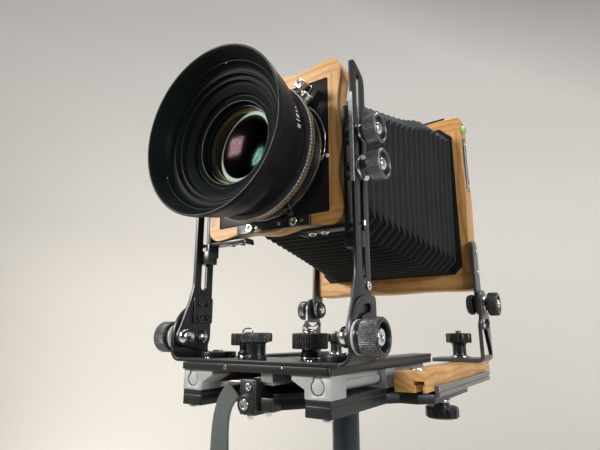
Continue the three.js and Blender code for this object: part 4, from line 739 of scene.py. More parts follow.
mouth = turned([(0, 9), (1.2, 9), (1.2, 13.6), (1.6, 13.6), (1.6, 8.5), (4.55, 8.5), (4.55, 2), (0, 2)], 0.15, 32)
piece("flash_socket_mouth", on_lens(40, 63.6, 20, mouth), "front", lens_black)


def wire(path, radius, sides=10, count=60):
    """A round wire along a smooth path: rings of r (cos a n + sin a b) about each point, with n and b square to
    the path and to each other."""
    line = spline(path, count)
    along = unit(np.gradient(line, axis=0))
    side = unit(np.cross(along, (0.31, 0.2, 0.93)))
    other = np.cross(along, side)
    a = np.linspace(0, 2 * math.pi, sides, endpoint=False)
    ring = np.cos(a)[None, :, None] * side[:, None] + np.sin(a)[None, :, None] * other[:, None]
    return loft(line[:, None] + radius * ring)


guide = [round_lens(*p) for p in ((37, 69, 11), (30, 70.5, 10), (20, 71.5, 9), (8, 71.5, 8), (-4, 70, 7),
                                  (-10, 68.5, 6), (-13, 66, 6), (-14, 63.5, 6.5))]
piece("shutter_wire", wire(guide, 0.45), "front", silver)
dot = turned([(0, 0), (1.9, 0), (1.9, 1.2), (0, 1.9)], 0.4, 24)
piece("shutter_index", moved(dot, aimed((0, -1, 0), round_lens(-9, 72.5, 4.6))), "front", enamel)


# ---- Cocking lever ----
# A polished steel ring and arm round the shutter. Its thumb piece is a bright square block with a
# small drilled hole, and the arm is stamped and rounded at its edges.
LEVER_ANGLE = math.radians(50.53)
lever_ring = plate(circle(67.2, 128), [circle(64.5, 128)], 7, 11, 0.4, 2)
lever_arm = [plate(box_outline(22, 9, 1.5, 75.5), (), 7, 11, 0.6),
             plate(box_outline(9, 9, 1.1, 81.5), [circle(1.1, 20, 83, 1)], 10.5, 25, 0.9),
             plate(circle(1.15, 20, 83, 1), (), 10.5, 23.5, 0.1, 1),
             plate(circle(3.2, 32, 71.5, 3), (), 10.5, 16, 0.8)]
lever = joined(lever_ring, moved(joined(*lever_arm), lambda p: rotated(p, LEVER_ANGLE)))
piece("cocking_lever_arm", moved(lever, lens_axis), "cocking_lever", chrome, "cocking_lever", 40)


# ---- Speed ring ----
# The shutter's setting ring: a smooth violet-grey cone on its face, and a serrated rim whose bronze
# shows where the silver plating has worn, and is mixed in more towards the bottom, which is darker.
def plated_ring():
    """Silver over bronze: worn plating mixed by 0.55 clamp(3 noise - 1.1), plus 0.35 lower down, so darker towards the
    bottom, with bright edges that are partly bare metal and partly painted highlights, and a darker grime by fine
    noise."""
    made, n, shader = material("ring_metal", Metallic=1)
    place = n.place()
    split = n.add("SeparateXYZ", None, {0: place})
    # darker towards the bottom: more bronze mixed in lower down
    lower = n.ramp(split.outputs[2], (0.76, 1.0), (0.9, 0.0))
    rub = n.math("MULTIPLY_ADD", n.noise(place, 90, 4, 0.7), 3, -1.1, clamp=True)
    rub = n.math("MULTIPLY_ADD", rub, 0.55, n.math("MULTIPLY", lower, 0.35), clamp=True)
    tone = n.mix(rub, (0.52, 0.50, 0.47), (0.50, 0.36, 0.19))
    tone = n.mix(n.use(wear_and_highlight, Width=0.5 * mm, Amount=1.0)["Mask"], tone, (0.85, 0.80, 0.70))
    n.set(shader, "Base Color", n.mix(n.math("MULTIPLY", n.noise(place, 1400, 3), 0.5), tone, (0.16, 0.13, 0.1)))
    n.set(shader, "Roughness", n.math("MULTIPLY_ADD", n.noise(place, 500), 0.3, 0.25))
    n.set(shader, "Normal", n.bump(n.noise(place, 1800), 0.012 * mm))
    return made


ring_metal = plated_ring()
band = [(40, 26.8), (70.4, 26.8), (71.4, 27.4), (72, 28), (72, 33.6), (71.2, 34.2), (40, 34.2)]
rim = turned(band, 0.3, flutes=(130, 1.0, 27.6, 34))
slope = turned([(40, 34.0), (70.9, 34.0), (70.9, 34.5), (66.6, 35.4), (40, 35.4)], 0.2, 128)
violet = metal("ring_face", (0.13, 0.125, 0.15), (0.5, 0.5, 0.5), 0.3, 0.8, amount=0.5, grit=0.003)
piece("speed_ring_rim", moved(rim, lens_axis), "speed_ring", ring_metal, "speed_ring", 30)
piece("speed_ring_face", moved(slope, lens_axis), "speed_ring", violet, smooth=30)
red, n, shader = material("red_enamel", Roughness=0.4)
n.set(shader, "Base Color", n.mix(n.noise(n.place(), 1800), (0.55, 0.03, 0.02), (0.35, 0.02, 0.02)))
bead = turned([(0, 0), (2.2, 0), (2.2, 0.5), (0, 0.8)], 0.2, 24)
bead_at = aimed((math.cos(0.58), 0, math.sin(0.58)), round_lens(33.2, 71.6, 31))
piece("speed_ring_mark", moved(bead, bead_at), "speed_ring", red)


# ---- Lens barrel and hood ----
# One turned aluminium mount, black anodised: a straight barrel, a cone that opens to the hood's rim,
# and inside it stepped light baffles and a polished concave band. Two thin bright rings and a nest of
# black ones hold the front glass.
barrel_black = metal("barrel_black", (0.005, 0.0055, 0.0065), (0.15, 0.13, 0.10), 0.4, amount=0.4, shine=0.12)
bright = metal("bright_edge", (0.06, 0.065, 0.064), (0.4, 0.4, 0.39), 0.42, 0.9, amount=0.1, grit=0.002)
inside_black, n, shader = material("baffle_black", Specular_IOR_Level=0.05)
place = n.place()
marks = n.noise(n.scaled(place, 1, 40, 1), 60, 3, 0.6)
lathe_lines = n.noise(n.scaled(place, 0.2, 60, 0.2), 90, 2)
n.set(shader, "Base Color", n.mix(n.noise(place, 40, 3), (0.004, 0.006, 0.0055), (0.008, 0.0115, 0.0105)))
n.set(shader, "Roughness", n.math("MULTIPLY_ADD", marks, 0.2, 0.38))
n.set(shader, "Normal", n.bump(lathe_lines, 0.02 * mm))


def mount_profile():
    """The mount's half section: outside from the back to the rim, eleven fine ridges, then the steps of the
    inside back down."""
    outer = [(33.5, 18), (33.5, 36), (62, 36), (66, 36.8), (66, 55.2), (65.2, 55.8, 0.2), (65.2, 57, 0.2), (66.2, 57.6),
             (74, 60.6, 3), (76.6, 72, 12), (78.4, 86, 2), (79.8, 87.2, 0.8), (80.4, 92.8, 0.8), (80.2, 94.8, 0.6),
             (78.6, 94.8, 0.5)]
    ridges = [(77.6 - 0.55 * i - 0.55 * (i % 2), 93.6 - 1.05 * i, 0.15) for i in range(11)]
    inner = [(71.4, 82.2, 0.4), (70.6, 82.2, 0.3), (68.4, 76.0, 8), (63.5, 74.6, 1.2), (62.9, 75.5, 0.3),
             (61.9, 75.5, 0.3), (61.2, 71.8, 0.5), (58.6, 71.0, 0.5), (58.2, 71.9, 0.2), (57.2, 71.9, 0.3),
             (56.6, 68.4, 0.5), (53.8, 67.4, 0.6), (47.8, 64.2, 0.4), (47.4, 63.6, 0.2), (46.9, 62, 0.2)]
    return outer + ridges + inner + [(46.4, 50.4), (39.5, 50), (39.4, 37.5), (32, 37.5), (32, 18)]


mount = piece("lens_mount", moved(turned(eased(mount_profile(), 0.5, True, 5), steps=192), lens_axis), "front",
              barrel_black, "front_cell", 30)
# the faces that look inwards, in front of the glass's seat and inside the rim, get the baffles' black
BAFFLES_FROM, RIM_INSIDE = 44, 78.5
mount.data.materials.append(inside_black)
for face in mount.data.polygons:
    centre = (face.center - Vector(at((0, 0, LENS_Z)))) / mm
    inwards = face.normal.x * centre.x + face.normal.z * centre.z <= 0
    face.material_index = int(inwards and -centre.y > BAFFLES_FROM and math.hypot(centre.x, centre.z) < RIM_INSIDE)
lip = turned([(42.4, 58.2), (42.4, 59.0), (41.9, 59.5), (41.4, 59.2), (41.3, 58.0)], 0.25, 160, closed=True)
step = turned([(39.7, 52.4), (39.6, 52.9), (39.2, 52.9), (39.0, 52.2)], 0.12, 160, closed=True)
piece("retaining_ring_bright", moved(joined(lip, step), lens_axis), "front", bright)
nested = [(46.8, 61.4), (45.8, 61.2), (42.5, 59.1), (42.2, 58.4), (41.5, 58.2), (39.9, 53), (39.5, 52.6), (39.2, 52.4),
          (38.8, 51.8), (38.7, 50.5), (46.3, 50.5)]
piece("retaining_rings", moved(turned(nested, 0.2, 160, closed=True), lens_axis), "front", inside_black)
ticks = []
for k, angle in enumerate((4, 9, 13.5, 18, 22.5, 27, 31.5)):
    long, offsets = (6, [0]) if k % 2 else (4.8, [-1, 1])
    ticks += [on_lens(angle, 65.98, 43 + long / 2, plate(box_outline(1.1, long, 0.3, u), (), 0, 0.12, 0.04, 1))
              for u in offsets]
piece("barrel_marks", joined(*ticks), "front", enamel)
pin = turned([(0, 0), (1.1, 0), (1.1, 0.6), (0, 1.0)], 0.2, 20)
pins = [moved(pin, (70 * math.cos(t), 70 * math.sin(t), 82)) for t in (1.45, 3.6)]
piece("hood_pins", moved(joined(*pins), lens_axis), "front", bright)


# ---- Lens glass ----
# A coated convex front element in its rings, and deep in the bronze-toned barrel behind it a second
# one. The coatings tint what they mirror, rose in front and mint behind. The second one's edge is a pale
# oval arc that glows, a painted reflection, and dark shutter leaves close the well under it.
def coated(name, tint, clear):
    """Coated glass: a tinted mirror over clear tinted glass, mixed by clamp(2.5 Fresnel(1.7) (1 - backfacing)), so
    that only its outer side mirrors."""
    made, n, shader = material(name)
    made.node_tree.nodes.remove(shader)
    mirror = n.add("BsdfGlossy", None, {"Color": (*tint, 1), "Roughness": 0.12})
    see = n.add("BsdfTransparent", None, {"Color": (*clear, 1)})
    outer = n.math("SUBTRACT", 1, n.add("NewGeometry").outputs["Backfacing"])
    strength = n.math("MULTIPLY", n.add("Fresnel", None, {"IOR": 1.7}).outputs[0], 2.5)
    blend = n.add("MixShader", None, {0: n.math("MULTIPLY", outer, strength, clamp=True), 1: see.outputs[0],
                                      2: mirror.outputs[0]})
    n.set(made.node_tree.nodes["Material Output"], "Surface", blend.outputs[0])
    return made


def dome(radius, rim, crown, base):
    """A lens's section: a cap that rises from rim at r = radius to crown at r = 0 as 1 - (r / radius)^2, on a
    flat back."""
    r = np.linspace(radius, 0, 14)
    rise = (crown - rim) * (1 - (r / radius) ** 2)
    return np.vstack([[(0, base), (radius, base)], np.column_stack([r, rim + rise])])


rose_glass = coated("rose_glass", (0.027, 0.0175, 0.0200), (0.90, 0.93, 0.90))
mint_glass = coated("mint_glass", (0.055, 0.100, 0.092), (0.45, 0.46, 0.42))
piece("front_element_glass", moved(turned(dome(38.6, 49.8, 56.2, 49.3), steps=128), lens_axis), "front", rose_glass,
      "front_element", 30)
BRONZE_FROM, BRONZE_FULL = 38.5, 45.5
warm, n, shader = material("inner_barrel", Metallic=0.3, Roughness=0.4)
# painted light and shade: bronze only just behind the front glass, where the key light falls, near black deeper in
depth = n.add("SeparateXYZ", None, {0: n.vector("SUBTRACT", n.place(), tuple(at((0, 0, LENS_Z))))})
fade = BRONZE_FULL - BRONZE_FROM
upper = n.math("MULTIPLY_ADD", depth.outputs[1], -1 / (fade * mm), -BRONZE_FROM / fade, clamp=True)
bronze = n.mix(n.noise(n.scaled(n.place(), 1, 8, 1), 160, 3), (0.24, 0.175, 0.10), (0.40, 0.30, 0.175))
n.set(shader, "Base Color", n.mix(upper, (0.008, 0.007, 0.006), bronze))
n.set(shader, "Normal", n.bump(n.noise(n.scaled(n.place(), 0.2, 60, 0.2), 90, 2), 0.02 * mm))
well = eased([(38.4, 49.2), (38.0, 47.8), (37.2, 47.4), (36.4, 46.4), (35.4, 46.2), (34.9, 45.4), (33.6, 41),
              (31.2, 38), (31, 15), (0, 14.6)], 0.3)
well = turned(np.vstack([well, [(0, 13.4), (31.8, 13.4), (31.8, 38.2), (39.2, 38.4), (39.2, 49.2)]]), steps=128)
piece("inner_barrel", moved(well, lens_axis), "front", warm, smooth=30)
thin = turned([(35.5, 46.0), (35.4, 46.5), (35.0, 46.4), (34.9, 45.8)], 0.1, 128, closed=True)
piece("inner_barrel_ring", moved(thin, lens_axis), "front", bright)
second = turned(dome(30.6, 19.4, 23.6, 19), steps=96)
piece("second_element", moved(second, lens_axis), "front", mint_glass)
OVAL_TILT = math.radians(60)


def oval(u, v, a, b):
    """An ellipse about (u, v) with its long half axis a at the oval's tilt: (a cos t, b sin t), turned."""
    return rotated(circle(1, 96) * (a, b), OVAL_TILT) + (u, v)


# painted reflection: this thin oval glows a pale green-grey along one arc, though it is no lamp
painted_glow_rim, n, shader = material("painted_glow_edge", Roughness=0.5)
split = n.add("SeparateXYZ", None, {0: n.vector("SUBTRACT", n.place(), tuple(at((6, 0, LENS_Z - 2.2))))})
cos, sin = math.cos(OVAL_TILT), math.sin(OVAL_TILT)
lengthways = n.math("MULTIPLY", split.outputs[2], sin / (36 * mm))
along = n.math("ABSOLUTE", n.math("MULTIPLY_ADD", split.outputs[0], cos / (36 * mm), lengthways))
crossways = n.math("MULTIPLY", split.outputs[2], cos / (27 * mm))
across = n.math("MULTIPLY_ADD", split.outputs[0], -sin / (27 * mm), crossways, clamp=True)
painted_glow = n.math("MAXIMUM", n.math("MULTIPLY_ADD", along, 2.2, -1.1, clamp=True), n.math("MULTIPLY", across, 0.16))
n.set(shader, "Base Color", n.mix(painted_glow, (0.004, 0.006, 0.006), (0.02, 0.026, 0.024)))
n.set(shader, "Emission Color", n.mix(painted_glow, (0.004, 0.012, 0.012), (0.50, 0.62, 0.55)))
n.set(shader, "Emission Strength", 1.1)
glow_oval = plate(oval(5.5, -2, 36.2, 27.6), [oval(5.9, -2.1, 32.6, 27.0)], 48.5, 48.8, 0.08, 1)
piece("second_element_painted_glow", moved(glow_oval, lens_axis), "front", painted_glow_rim)
leaf = plate([(0, 0), (23, -13), (29.5, 3), (22, 18)], (), 15.4, 15.6, 0.05, 1)
leaves = [moved(leaf, lambda p: rotated(p, 2 * math.pi * k / 7), (0, 0, 0.25 * k)) for k in range(7)]
piece("shutter_leaves", moved(joined(*leaves), lens_axis), "front", inside_black)


# ---- Rear cell ----
# The lens's back half, a plain black cylinder with a knurled band and its own small element, behind
# the board inside the bellows.
cell = [(0, -20), (28, -20), (34, -46.8), (35, -50.6), (36, -50.3), (40, -50.3), (40, -8.4), (33.5, -8.4), (33.5, 6),
        (0, 6)]
piece("rear_cell_barrel", moved(turned(cell, 0.8, flutes=(70, 0.7, -30, -12)), lens_axis), "front", barrel_black,
      "rear_cell", 30)
rear_glass = turned(dome(29.5, -24, -22, -25), steps=64)
piece("rear_element", moved(rear_glass, lens_axis), "front", mint_glass)


# ---- Front uprights ----
# Two stamped and black-anodised aluminium posts with a long slot. Each turns on a pivot in the swing
# bracket's arm, and its foot carries the clamp bolt; a small steel rule is glued to its front edge.
PIVOT, CLAMP_Y = (7, 63.8), -17.5
SIDES = (("right", 1), ("left", -1))


def sideways(shape):
    """A plate's u, v, height as y, z, x: it stands facing along X."""
    return shape[0][:, [2, 0, 1]], shape[1]


def mirrored(shape, side=-1):
    """The same shape across x = 0, or itself where side is 1."""
    return flipped(shape, side, 1, 1)


def arc(u, v, radius, start, end, count=16):
    """Points on a circle's arc about (u, v), angles in degrees."""
    a = np.radians(np.linspace(start, end, count))
    return np.column_stack([u + radius * np.cos(a), v + radius * np.sin(a)])


def bent_slot(u, v, radius, start, end, half, count=14):
    """A curved slot's outline: two arcs of radius +- half joined by round ends."""
    middles = [(u + radius * math.cos(t), v + radius * math.sin(t)) for t in np.radians((start, end))]
    return np.vstack([arc(u, v, radius + half, start, end, count), arc(*middles[1], half, end, end + 180, 8)[1:-1],
                      arc(u, v, radius - half, end, start, count),
                      arc(*middles[0], half, start + 180, start + 360, 8)[1:-1]])


def slot_outline(u, low, high, half):
    """A straight upright slot with round ends."""
    return np.vstack([arc(u, high - half, half, 0, 180, 10), arc(u, low + half, half, 180, 360, 10)])


post = np.vstack([arc(CLAMP_Y, PIVOT[1], 9.5, 155, 270, 12), arc(*PIVOT, 13.5, 270, 360, 12),
                  eased([(20.5, 200), (20.5, 318, 9), (-1.5, 329.3, 5), (-6.5, 326, 4), (-6.5, 118, 6),
                         (-12, 100, 8)], 1)])
post_holes = [slot_outline(7, 114.3, 316.3, 4), circle(3.9, 24, CLAMP_Y, PIVOT[1])]
doubler = plate(box_outline(28, 28, 2.5, 5.5, 91.8, 4), (), 94, 97.2, 0.4)
upright = joined(plate(post, post_holes, 97, 100.7, 0.45), doubler)
foot_nuts = joined(*[socket_bolt(3.4, 2.4, 1.9, y, z, -93.9) for y, z in ((-1, 84), (12, 84), (-1, 99), (12, 99))])
upright = sideways(joined(upright, flipped(foot_nuts, 1, 1, -1)))
pivot_bolt = sideways(bolt_head(8.3, 2.7, circle(4.2, 32, *PIVOT), *PIVOT, 104.6))
pivot_end = turned([(0, 0), (6.6, 0), (6.4, 2.4, 1), (3.8, 5, 2), (0, 5.6)], 0.8, 40)
pivot_end = moved(pivot_end, lambda p: p[:, [2, 1, 0]] * (-1, 1, 1), (96.9, *PIVOT))
bolts = joined(socket_bolt(4.1, 2, 2.1, 13.5, 108, 100.6), socket_bolt(4, 3.2, 2.2, *PIVOT, 103.5))
bolts = joined(sideways(bolts), pivot_end)
for name, side in SIDES:
    piece(f"upright_post_{name}", mirrored(upright, side), "uprights", black_metal, f"upright_{name}")
    piece(f"upright_bolts_{name}", mirrored(bolts, side), "uprights", chrome)
    piece(f"upright_pivot_{name}", mirrored(pivot_bolt, side), "uprights", black_metal)


def steel_rule():
    """A rule's face: grey with black lines where fract(z / 2 mm) < 0.26 in its inner part, and longer ones where
    fract(z / 10 mm) < 0.07."""
    made, n, shader = material("steel_rule", Metallic=0.5, Roughness=0.4)
    local = n.add("SeparateXYZ", None, {0: n.vector("SUBTRACT", n.place(), tuple(at((0, 0, 201))))})
    height, wide = local.outputs[2], n.math("SUBTRACT", n.math("ABSOLUTE", local.outputs[0]), 96.5 * mm)
    lines = []
    for pitch, reach, thick in ((2, 1.6, 0.26), (10, 3.2, 0.07)):
        near = n.math("LESS_THAN", n.math("FRACT", n.math("DIVIDE", height, pitch * mm)), thick)
        lines.append(n.math("MULTIPLY", near, n.math("LESS_THAN", wide, reach * mm)))
    plain = n.mix(n.noise(n.place(), 700, 3), (0.30, 0.31, 0.32), (0.44, 0.45, 0.46))
    n.set(shader, "Base Color", n.mix(n.math("MULTIPLY", n.math("MAXIMUM", *lines), 0.85), plain, (0.02, 0.02, 0.02)))
    n.set(shader, "Normal", n.bump(n.noise(n.scaled(n.place(), 1, 1, 0.05), 2500), 0.006 * mm))
    return made


rule_steel = steel_rule()
rule = facing(plate(box_outline(4.1, 90, 0.5, 98.6, 246), (), 6.4, 7.5, 0.15, 1))
for name, side in SIDES:
    piece(f"upright_rule_{name}", mirrored(rule, side), "uprights", rule_steel)


# ---- Swing bracket ----
# One thick aluminium plate bent up at both ends, black anodised. Curved slots in its base let the
# front swing, and a curved slot in each arm lets it tilt; two thick discs stand on it at its sides.
def bend(x, z, thick, wide, radius, middle, corner=0.5):
    """A bend between a level plate and an upright one: a rounded section thick x wide carried round a quarter
    circle of that middle radius about (x, z)."""
    section = box_outline(thick, wide, corner, radius, middle, 3)
    return loft([[(x + u * math.sin(t), v, z - u * math.cos(t)) for u, v in section]
                 for t in np.linspace(0, math.pi / 2, 12)])


def both(shape):
    """A shape and its mirror image across x = 0."""
    return joined(shape, mirrored(shape))


base_corners = [(-92.8, -28.8, 0.2), (92.8, -28.8, 0.2), (92.8, 22, 0.2), (87, 22, 3), (76, 35, 4), (-76, 35, 4),
                (-87, 22, 3), (-92.8, 22, 0.2)]
SWING_Y, SWING_KNOB = -18, (38.3, 15)
swing_radius = math.hypot(SWING_KNOB[0], SWING_KNOB[1] - SWING_Y)
rest_angle = math.degrees(math.atan2(SWING_KNOB[1] - SWING_Y, SWING_KNOB[0]))
base_slots = [bent_slot(0, SWING_Y, swing_radius, t - 15, t + 15, 4) for t in (rest_angle, 180 - rest_angle)]
base = plate(eased(base_corners, 3, True), base_slots + [circle(4.3, 32, 0, SWING_Y)], 40, 43.3, 0.5)
arm = np.vstack([arc(*PIVOT, 35.8, 90, 180, 24),
                 eased([(-28.8, 60), (-28.8, 51.5, 0.2), (22, 51.5, 0.2), (22, 99.6, 7), (12, 99.6, 1)], 1)])
arm_holes = [bent_slot(*PIVOT, 24.5, 90, 190, 4, 24), circle(6.2, 32, *PIVOT)]
arm_plate = sideways(plate(arm, arm_holes, 101, 104.3, 0.5))
corner = bend(92.3, 52, 3.3, 50.8, 10.35, -3.4)
piece("swing_bracket_plate", joined(base, arm_plate, mirrored(arm_plate), both(corner)), "swing_bracket", black_metal,
      "swing_bracket")
discs = [plate(circle(19, 64, x, 10), [circle(3, 24, x, 10)], 43.2, 48.8, 1.2) for x in (-74, 74)]
piece("swing_bracket_discs", joined(*discs), "swing_bracket", black_metal)
caps = [socket_bolt(5.6, 2.6, 2.4, x, 10, 48) for x in (-74, 74)]
small = [cross_screw(2.6, 1.4, 1.5, 0.35, x, y, 43.2) for x, y in ((-60, -20), (60, -20), (-88, 14), (88, 14))]
piece("swing_bracket_bolts", joined(*caps, *small), "swing_bracket", chrome)


# ---- Rise knobs ----
# Small turned aluminium knobs, anodised a worn grey, with fine straight knurling and a deep recess that
# shows the chromed nut on the bolt. Each bears on a bright washer on the upright's face.
knob_metal = metal("knob_metal", (0.012, 0.013, 0.014), (0.55, 0.56, 0.56), 0.26, 0.2, amount=0.8, width=0.7,
                   grit=0.004)
knurled_grey = metal("knurled_grey", (0.11, 0.115, 0.115), (0.6, 0.61, 0.61), 0.3, 0.7, amount=1.2, width=0.8,
                     grit=0.004)


def knob_body(radius, low, high, neck, recess, depth, flutes, cut=0.55, chamfer=1.3):
    """A knob's head and neck: a rim with that many flutes of that cut from low to high, its corners chamfered,
    and a round recess of that radius and depth in its top."""
    profile = [(0, 2), (neck, 2), (neck, low), (radius - chamfer, low), (radius, low + chamfer),
               (radius, high - chamfer), (radius - chamfer, high), (recess + 0.7, high), (recess, high - 0.7),
               (recess - 0.6, high - depth), (0, high - depth)]
    return turned(profile, 0.35, flutes=(flutes, cut, low + 0.3 * chamfer, high - 0.3 * chamfer))


def dome_nut(radius, low, height, steps):
    """A hexagon nut of that height with a domed cap above it, turned in that many steps."""
    nut = plate(hexagon(radius), (), low, low + 0.45 * height, 0.5, 3)
    cap = [(0, low), (0.86 * radius, low), (0.86 * radius, low + 0.45 * height),
           (0.72 * radius, low + 0.8 * height, 1.5), (0.35 * radius, low + height, 1.2), (0, low + height)]
    return joined(nut, turned(cap, 0.6, steps))


def washer(outer, inner, low, high, edge=0.3):
    """A flat washer with rounded edges."""
    return plate(circle(outer, 56), [circle(inner, 40)], low, high, edge, 2)


def dress_knob(name, centre, direction, dark, light, finish=knob_metal):
    """A knob's two pieces on the body of its name: the turned grip, which stands for the CAD knob, and the bright
    bolt and washer."""
    move = aimed(direction, centre)
    piece(f"{name}_grip", moved(joined(*dark), move), name, finish, name, 30)
    piece(f"{name}_bolt", moved(joined(*light), move), name, chrome)


UPPER_RISE_Z, LOWER_RISE_Z = 253.3, 217.3
for name, side in SIDES:
    for level, z, broad, rise in (("upper", UPPER_RISE_Z, 8.2, 2.5), ("lower", LOWER_RISE_Z, 12.4, 5)):
        dark = [knob_body(14.5, 5.4 + rise, 19.4 + rise, 8, 11.2, 5.5, 64, 0.32), rod(3.7, -9, 3, 0.4)]
        light = [washer(broad, 3.8, 0, 2.3 + 0.3 * rise, 0.5), dome_nut(7.6, 13.6 + rise, 5.6, 32)]
        dress_knob(f"rise_knob_{level}_{name}", (side * 101, 7, z), (side, 0, 0), dark, light, knurled_grey)


# ---- Tilt knobs ----
# The larger clamp knobs at the foot of each upright: seventy-two straight flutes, a bright chamfer, a
# pale fibre washer behind, and on the inside a chromed cup on the bolt's other end.
fibre, n, shader = material("fibre_washer", Roughness=0.6)
n.set(shader, "Base Color", n.mix(n.noise(n.place(), 400, 4), (0.32, 0.36, 0.35), (0.45, 0.49, 0.47)))
n.set(shader, "Normal", n.bump(n.noise(n.place(), 2600), 0.02 * mm))
dark = [knob_body(16, 6.4, 23.4, 12.6, 11.6, 6.5, 72, 0.36, 1.6), rod(3.7, -12, 3, 0.4), rod(13.6, 2.2, 4.6, 0.4, 56)]
cup = turned([(0, -8), (8.8, -8), (9, -12.4, 2), (6.4, -15.8, 2), (0, -17)], 0.6, 48)
light = [socket_bolt(7.4, 4.6, 3.3, 0, 0, 16.8), cup]
for name, side in SIDES:
    centre, outwards = (side * 104.6, CLAMP_Y, PIVOT[1]), (side, 0, 0)
    dress_knob(f"tilt_knob_{name}", centre, outwards, dark, light)
    piece(f"tilt_knob_washer_{name}", moved(washer(14.2, 3.8, 0, 2.3, 0.5), aimed(outwards, centre)),
          f"tilt_knob_{name}", fibre)


# ---- Swing knobs ----
# Two clamp knobs in the base's curved slots: the left with milled sides and a wire loop, the right with
# coarse upright flutes and a chromed cap nut. Between them a low knob with a knurled rim.
BASE_TOP, UP = 43.3, (0, 0, 1)
bearing = washer(9.7, 3.8, 0, 2, 0.4)
below = [rod(3.7, -4, 3, 0.3), turned([(0, 2), (9.6, 2), (9.6, 5.5), (8, 6.5), (8, 10), (0, 10)], 0.5, 48)]
dress_knob("swing_knob_right", (*SWING_KNOB, BASE_TOP), UP,
           [knob_body(17, 9.5, 24, 8, 11.5, 2.2, 44, 0.7, 0.9), *below], [dome_nut(7, 21.6, 6.4, 32), bearing])
loop = wire([(6 * math.cos(t), 1.5 * math.sin(2 * t), 23.5 + 5.6 * math.sin(t))
             for t in np.linspace(-0.25, math.pi + 0.25, 15)], 0.85)
dress_knob("swing_knob_left", (-SWING_KNOB[0], SWING_KNOB[1], BASE_TOP), UP,
           [knob_body(17, 12, 24, 8, 13, 1.4, 26, 0.5, 0.9), *below], [loop, dome_nut(4.4, 22.2, 3.4, 24), bearing])
low_knob = [(0, 0.2), (9.8, 0.2), (9.8, 3), (8.8, 4.2), (8.8, 14.5), (11.4, 16), (13.6, 16), (14.8, 17), (14.8, 23),
            (13.8, 24), (11.6, 24.4), (10.9, 23.4), (0, 22.9)]
dress_knob("swing_pivot_knob", (0, SWING_Y, BASE_TOP), UP,
           [turned(low_knob, 0.5, flutes=(52, 0.7, 16.4, 23.6)), rod(3.6, -3, 1, 0.2)],
           [socket_bolt(4.6, 2, 2.3, 0, 0, 22.4)])


# ---- Rise carriers ----
# A thin black bracket at each side of the front frame, bent under it and held there by two domed
# chromed screws. Its block slides in the upright's slot and keeps the frame square as it rises.
def slab(x, y, z, edge=0.4, corner=0.3):
    """A block between two x, two y and two z, with rounded edges and corners."""
    middle = (sum(x) / 2, sum(y) / 2)
    return plate(box_outline(x[1] - x[0], y[1] - y[0], corner, *middle, 2), (), *z, edge, 2)


CARRIER_FOOT, BOLT_HEIGHTS = 162.6, (LOWER_RISE_Z, UPPER_RISE_Z)
bolt_holes = [circle(4, 24, 7, z) for z in BOLT_HEIGHTS]
side_bar = sideways(plate(box_outline(16, 122.4, 2, 10, 223.8), bolt_holes, 85, 88.9, 0.4))
spacers = [sideways(plate(circle(8.5, 40, 7, z), [hole], 88.8, 96.9, 0.4))
           for z, hole in zip(BOLT_HEIGHTS, bolt_holes)]
foot = slab((34, 88.9), (3, 17), (CARRIER_FOOT, 166.2), 0.5, 2.5)
lip = slab((34, 37), (3, 17), (CARRIER_FOOT - 2.2, CARRIER_FOOT + 1), 0.5, 0.8)
tab = slab((88, 102.8), (3.8, 10.2), (CARRIER_FOOT, 165.2), 0.4, 0.8)
slider = [slab((85.2, 96.9), (0, 14), (142.4, 157.2), 0.8, 0.8),
          slab((86, 101.2), (3.4, 10.6), (142.4, 157.2), 0.5, 0.5),
          slab((85, 88.9), (0.5, 16), (150, 165), 0.5, 0.8)]
carrier = joined(side_bar, foot, lip, tab, *slider, *spacers)
domed = flipped(turned([(0, 0), (4.4, 0), (4.2, 1.4, 0.8), (2.4, 3.0, 1), (0, 3.2)], 0.6, 40), 1, -1, -1)
pin = moved(turned([(0, -1), (2.2, -1), (2.2, 4, 0.6), (0, 4)], 0.3, 24), (101.8, 7, 163))
screws = joined(*[moved(domed, (x, 10, CARRIER_FOOT)) for x in (45, 59)], pin)
for name, side in SIDES:
    piece(f"rise_carrier_bar_{name}", mirrored(carrier, side), "front", black_metal,
          f"rise_carrier_{name}")
    piece(f"rise_carrier_screws_{name}", mirrored(screws, side), "front", chrome)


# ---- Bellows ----
# Twenty-one tapered pleats of black coated cloth over card strips, their corners folded in. It is glued
# into both frames and crosses every joint between them; it is made as six lengths.
PLEATS = 21
BELLOWS = (20.3, 302.9)
FRONT_MIDDLE, REAR_MIDDLE = 249.8, 259.5
phases = [0, 0.05, 0.18, 0.34, 0.44, 0.475, 0.5, 0.525, 0.56, 0.66, 0.82, 0.95]
folds = [0, 0.07, 0.34, 0.72, 0.93, 0.985, 1, 0.985, 0.93, 0.72, 0.34, 0.07]


